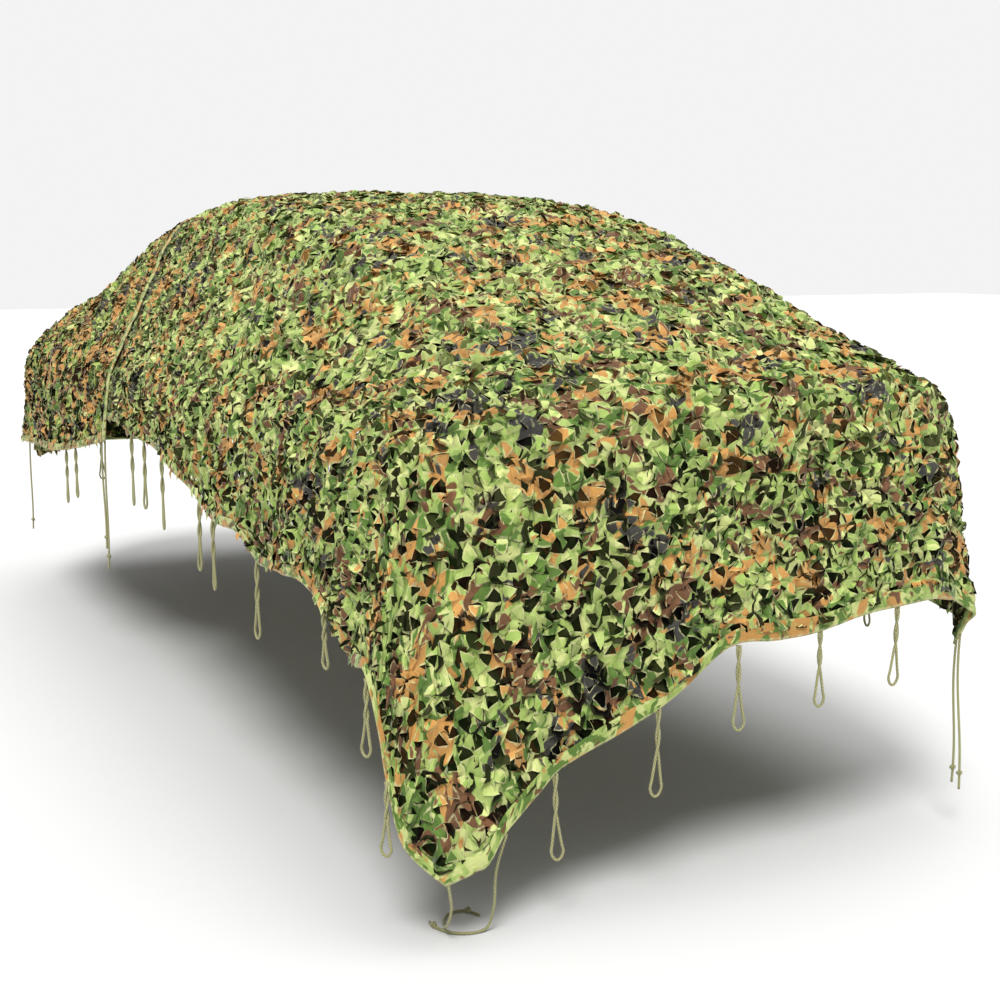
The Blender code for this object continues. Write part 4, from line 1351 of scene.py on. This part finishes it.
def cord_mesh(name, path, width):
    """A closed tube along a path of points, with UVs round and along it."""
    points, faces, flat = [], [], []
    line = np.array([tuple(point) for point in path])
    ahead = np.gradient(line, axis=0)
    ahead /= np.linalg.norm(ahead, axis=1, keepdims=True)
    aside = np.cross(ahead[0], FIRST_SIDE)
    run = 0.0
    for index, (spot, way) in enumerate(zip(line, ahead)):
        aside = aside - way * np.dot(aside, way)
        aside = aside / np.linalg.norm(aside)
        up = np.cross(way, aside)
        if index:
            run += np.linalg.norm(spot - line[index - 1])
        for side in range(CORD_SIDES):
            turn = side * 2 * math.pi / CORD_SIDES
            points.append(spot + (aside * math.cos(turn) + up * math.sin(turn)) * width / 2)
            flat.append((side / CORD_SIDES, run))
    last = (len(line) - 1) * CORD_SIDES
    for here in range(0, last, CORD_SIDES):
        there = here + CORD_SIDES
        for side in range(CORD_SIDES):
            beside = (side + 1) % CORD_SIDES
            faces.append((here + side, here + beside, there + beside, there + side))
    faces.append(list(reversed(range(CORD_SIDES))))
    faces.append(list(range(last, last + CORD_SIDES)))
    return new_piece(name, points, faces, shared_material("tie_cord"), flat)


def tie_top(cloths, tie):
    """Where a tie leaves its hem, and the level direction along the hem there."""
    middle, over = hem_spot(cloths[tie.panel].points, tie.edge, tie.step)
    return Vector((middle.x, middle.y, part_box(tie.name)[1].z)), over


def loop_path(top, over, tie, width, twist):
    """Two strands twisted together, then opening into a drop-shaped loop."""
    out = Vector((over.y, -over.x, 0))
    opening = LOOP_SHAPE[0][1]
    turns = max(1, round(tie.drop * opening / twist))
    steps = TURN_STEPS * turns

    def strand(side):
        points = []
        for step in range(steps + 1):
            share = step / steps
            angle = 2 * math.pi * turns * share
            fall = Vector((0, 0, tie.drop * opening * share))
            middle = top + over * tie.lean * (opening * share) ** 2 - fall
            turned = over * math.cos(angle) + out * math.sin(angle)
            points.append(middle + turned * side * width * STRAND_OFFSET)
        return points

    def at(sideways, depth):
        aside = sideways * LOOP_NECK + tie.lean * depth * depth
        return top + over * aside - Vector((0, 0, tie.drop * depth))

    down = [at(-wide, depth) for wide, depth in LOOP_SHAPE[1:]]
    up = [at(wide, depth) for wide, depth in reversed(LOOP_SHAPE[1:])]
    left, right = strand(-1), strand(1)
    bulb = smooth_route([left[-2], left[-1], *down, at(0, 1), *up, right[-1], right[-2]], LOOP_STEPS)
    return [*left[:-2], *bulb, *reversed(right[:-2])]


def tail_path(top, over, tie):
    """A single hanging cord that leans and sways a little."""
    points = []
    for index in range(TAIL_POINTS):
        depth = index / (TAIL_POINTS - 1)
        aside = tie.lean * depth ** TAIL_CURVE + TAIL_SWAY * math.sin(2 * math.pi * depth)
        points.append(top + over * aside - Vector((0, 0, tie.drop * depth)))
    return smooth_route(points, TAIL_STEPS)


def knot_path(centre, radius):
    """A small knot wound round the cord, as a trefoil."""
    points = []
    for step in range(KNOT_STEPS + 1):
        angle = 2 * math.pi * step / KNOT_STEPS
        x = math.sin(angle) + 2 * math.sin(2 * angle)
        y = math.cos(angle) - 2 * math.cos(2 * angle)
        z = -math.sin(3 * angle)
        points.append(centre + Vector((x * KNOT_BREADTH, y * KNOT_BREADTH, z * KNOT_DEPTH)) * radius)
    return points


def finish_cord(name, path):
    """Hides the CAD part of one cord; its length is worked out but not kept."""
    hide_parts(name)
    round(path_length(path), 3)


class NET_OT_stage(bpy.types.Operator):
    """Camera, soft studio light and a plain pale floor"""

    bl_idname = "net.stage"
    bl_label = "Studio"

    def execute(self, context):
        studio = context.scene.studio_settings
        camera = bpy.data.objects.new("camera", bpy.data.cameras.new("camera"))
        context.collection.objects.link(camera)
        camera.location = CAMERA_PLACE
        camera.rotation_euler = (math.pi / 2 - CAMERA_DIP, 0, -CAMERA_TURN)
        camera.data.lens = CAMERA_LENS
        camera.data.sensor_width = SENSOR
        context.scene.camera = camera
        bpy.ops.mesh.primitive_plane_add(size=FLOOR_SIZE, location=(0, 0, level(0)))
        floor = context.object
        floor.name = "floor"
        material, tree, shader = start_material("pale_floor")
        place = Value.add(tree, "ShaderNodeTexCoord", output="Object")
        cloud = noise(place, FLOOR_CLOUD)
        feed(shader, "Base Color", tint(ramp(cloud, FLOOR_RAMP), studio.floor, FLOOR_GREY))
        shader.inputs["Roughness"].default_value = FLOOR_ROUGH
        floor.data.materials.append(material)
        for sun in SUNS:
            light = bpy.data.objects.new(sun.name, bpy.data.lights.new(sun.name, "SUN"))
            light.data.angle = sun.spread
            light.data.energy = getattr(studio, sun.strength)
            light.rotation_euler = Vector(sun.way).to_track_quat("Z", "Y").to_euler()
            context.collection.objects.link(light)
        world = bpy.data.worlds.new("soft_surround")
        world.use_nodes = True
        seen = Value.add(world.node_tree, "ShaderNodeLightPath", output="Is Camera Ray")
        strength = seen * (studio.backdrop - studio.surround) + studio.surround
        background = world.node_tree.nodes["Background"]
        background.inputs["Color"].default_value = (1, 1, 1, 1)
        world.node_tree.links.new(strength.socket, background.inputs["Strength"])
        context.scene.world = world
        context.scene.view_settings.view_transform = "Standard"
        return {"FINISHED"}


class NET_OT_loops(bpy.types.Operator):
    """The looped ties that hang from the hems"""

    bl_idname = "net.loops"
    bl_label = "Looped ties"

    def execute(self, context):
        cords = context.scene.cord_settings
        for tie in LOOPS:
            top, over = tie_top(CLOTHS, tie)
            path = loop_path(top, over, tie, cords.width, cords.twist)
            piece = cord_mesh(f"{tie.name}_cord", path, cords.width)
            finish_cord(tie.name, path)
        return {"FINISHED"}


class NET_OT_tails(bpy.types.Operator):
    """The single cords with free ends, and the two that lie on the ground"""

    bl_idname = "net.tails"
    bl_label = "Free tails"

    def execute(self, context):
        cords = context.scene.cord_settings
        for tie in TAILS:
            top, over = tie_top(CLOTHS, tie)
            self.add_tail(tie.name, tail_path(top, over, tie), cords.width)
        for tail in LOW_TAILS:
            middle, _ = hem_spot(CLOTHS["rear"].points, "rear", tail.step)
            top = Vector((middle.x, middle.y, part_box(tail.name)[1].z))
            places = [Vector((x, y, level(height))) for x, y, height in tail.places]
            self.add_tail(tail.name, smooth_route([top, *places], TAIL_STEPS), cords.width)
        return {"FINISHED"}

    def add_tail(self, name, path, width):
        piece = cord_mesh(f"{name}_cord", path, width)
        place = path[KNOT_PLACE] + Vector((0, 0, width * KNOT_RISE))
        knot = cord_mesh(f"{name}_knot", knot_path(place, width), width * KNOT_WIDTH)
        finish_cord(name, path)


class NET_OT_hems(bpy.types.Operator):
    """The folded hems round both panels"""

    bl_idname = "net.hems"
    bl_label = "Hems"

    def execute(self, context):
        for panel, cloth in CLOTHS.items():
            piece = hem_band(panel, cloth, shared_material("hem_print"), HEM_SEEDS[panel])
            hem_leaves(panel, cloth, HEM_SEEDS[panel] + 1)
        return {"FINISHED"}


class NET_OT_strings(bpy.types.Operator):
    """The backing strings inside both panels"""

    bl_idname = "net.strings"
    bl_label = "Backing strings"

    def execute(self, context):
        for panel, cloth in CLOTHS.items():
            piece = backing_strings(f"{panel}_strings", cloth, shared_material("backing_string"))
        return {"FINISHED"}


class NET_OT_leaves(bpy.types.Operator):
    """The leaf-cut cloth of both panels"""

    bl_idname = "net.leaves"
    bl_label = "Leaf cloth"

    def execute(self, context):
        for panel, cloth in CLOTHS.items():
            edge = cloth.along[FRONT_PANEL_START]
            shadow = edge + np.array(LAP_SHADOW if panel == "rear" else NO_SHADOW)
            piece = leaf_net(panel, cloth, LEAF_SEEDS[panel], shadow)
            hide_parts(f"{panel}_panel")
        return {"FINISHED"}


class NET_PT_panel(bpy.types.Panel):
    """Settings and steps of the net"""

    bl_idname = "NET_PT_panel"
    bl_label = "Camouflage net"
    bl_space_type = "VIEW_3D"
    bl_region_type = "UI"
    bl_category = "Net"

    def draw(self, context):
        for group in SETTINGS:
            settings = getattr(context.scene, group)
            for name in type(settings).__annotations__:
                self.layout.prop(settings, name)
        for operator in OPERATORS:
            self.layout.operator(operator.bl_idname)


FlatSize = namedtuple("FlatSize", "width length area")
LEAF_SEEDS = {"rear": 11, "front": 23}
HEM_SEEDS = {"rear": 31, "front": 37}
CLOTHS = {
    "rear": Cloth(REAR_PANEL_HEMS, 0.0, 0, REAR_PANEL_END),
    "front": Cloth(FRONT_PANEL_HEMS, LAP_LIFT, FRONT_PANEL_START, ROWS),
}
MAKERS = {
    "rear_print": lambda: cloth_material("rear_print", "lime", REAR_PRINT),
    "front_print": lambda: cloth_material("front_print", "olive", FRONT_PRINT),
    "hem_print": lambda: cloth_material("hem_print", "lime", HEM_PRINT),
    # Copies of the prints without gloss, for the inner leaves' painted shade
    "rear_shaded": lambda: cloth_material("rear_shaded", "lime", REAR_PRINT, SHADED_GLOSS),
    "front_shaded": lambda: cloth_material("front_shaded", "olive", FRONT_PRINT, SHADED_GLOSS),
    "tie_cord": cord_material,
    "backing_string": string_material,
}
SETTINGS = {"net_settings": NetSettings, "cord_settings": CordSettings, "studio_settings": StudioSettings}
OPERATORS = [NET_OT_stage, NET_OT_loops, NET_OT_tails, NET_OT_hems, NET_OT_strings, NET_OT_leaves]
CLASSES = [*SETTINGS.values(), *OPERATORS, NET_PT_panel]


def shared_material(name):
    """The material of that name, made the first time it is asked for."""
    return bpy.data.materials.get(name) or MAKERS[name]()


def register():
    for cls in CLASSES:
        bpy.utils.register_class(cls)
    for name, group in SETTINGS.items():
        setattr(bpy.types.Scene, name, bpy.props.PointerProperty(type=group))


def unregister():
    for name in SETTINGS:
        delattr(bpy.types.Scene, name)
    for cls in reversed(CLASSES):
        bpy.utils.unregister_class(cls)


def main():
    register()
    bpy.ops.net.stage()
    bpy.ops.net.loops()
    bpy.ops.net.tails()
    bpy.ops.net.hems()
    bpy.ops.net.strings()
    bpy.ops.net.leaves()


if __name__ == "__main__":
    main()
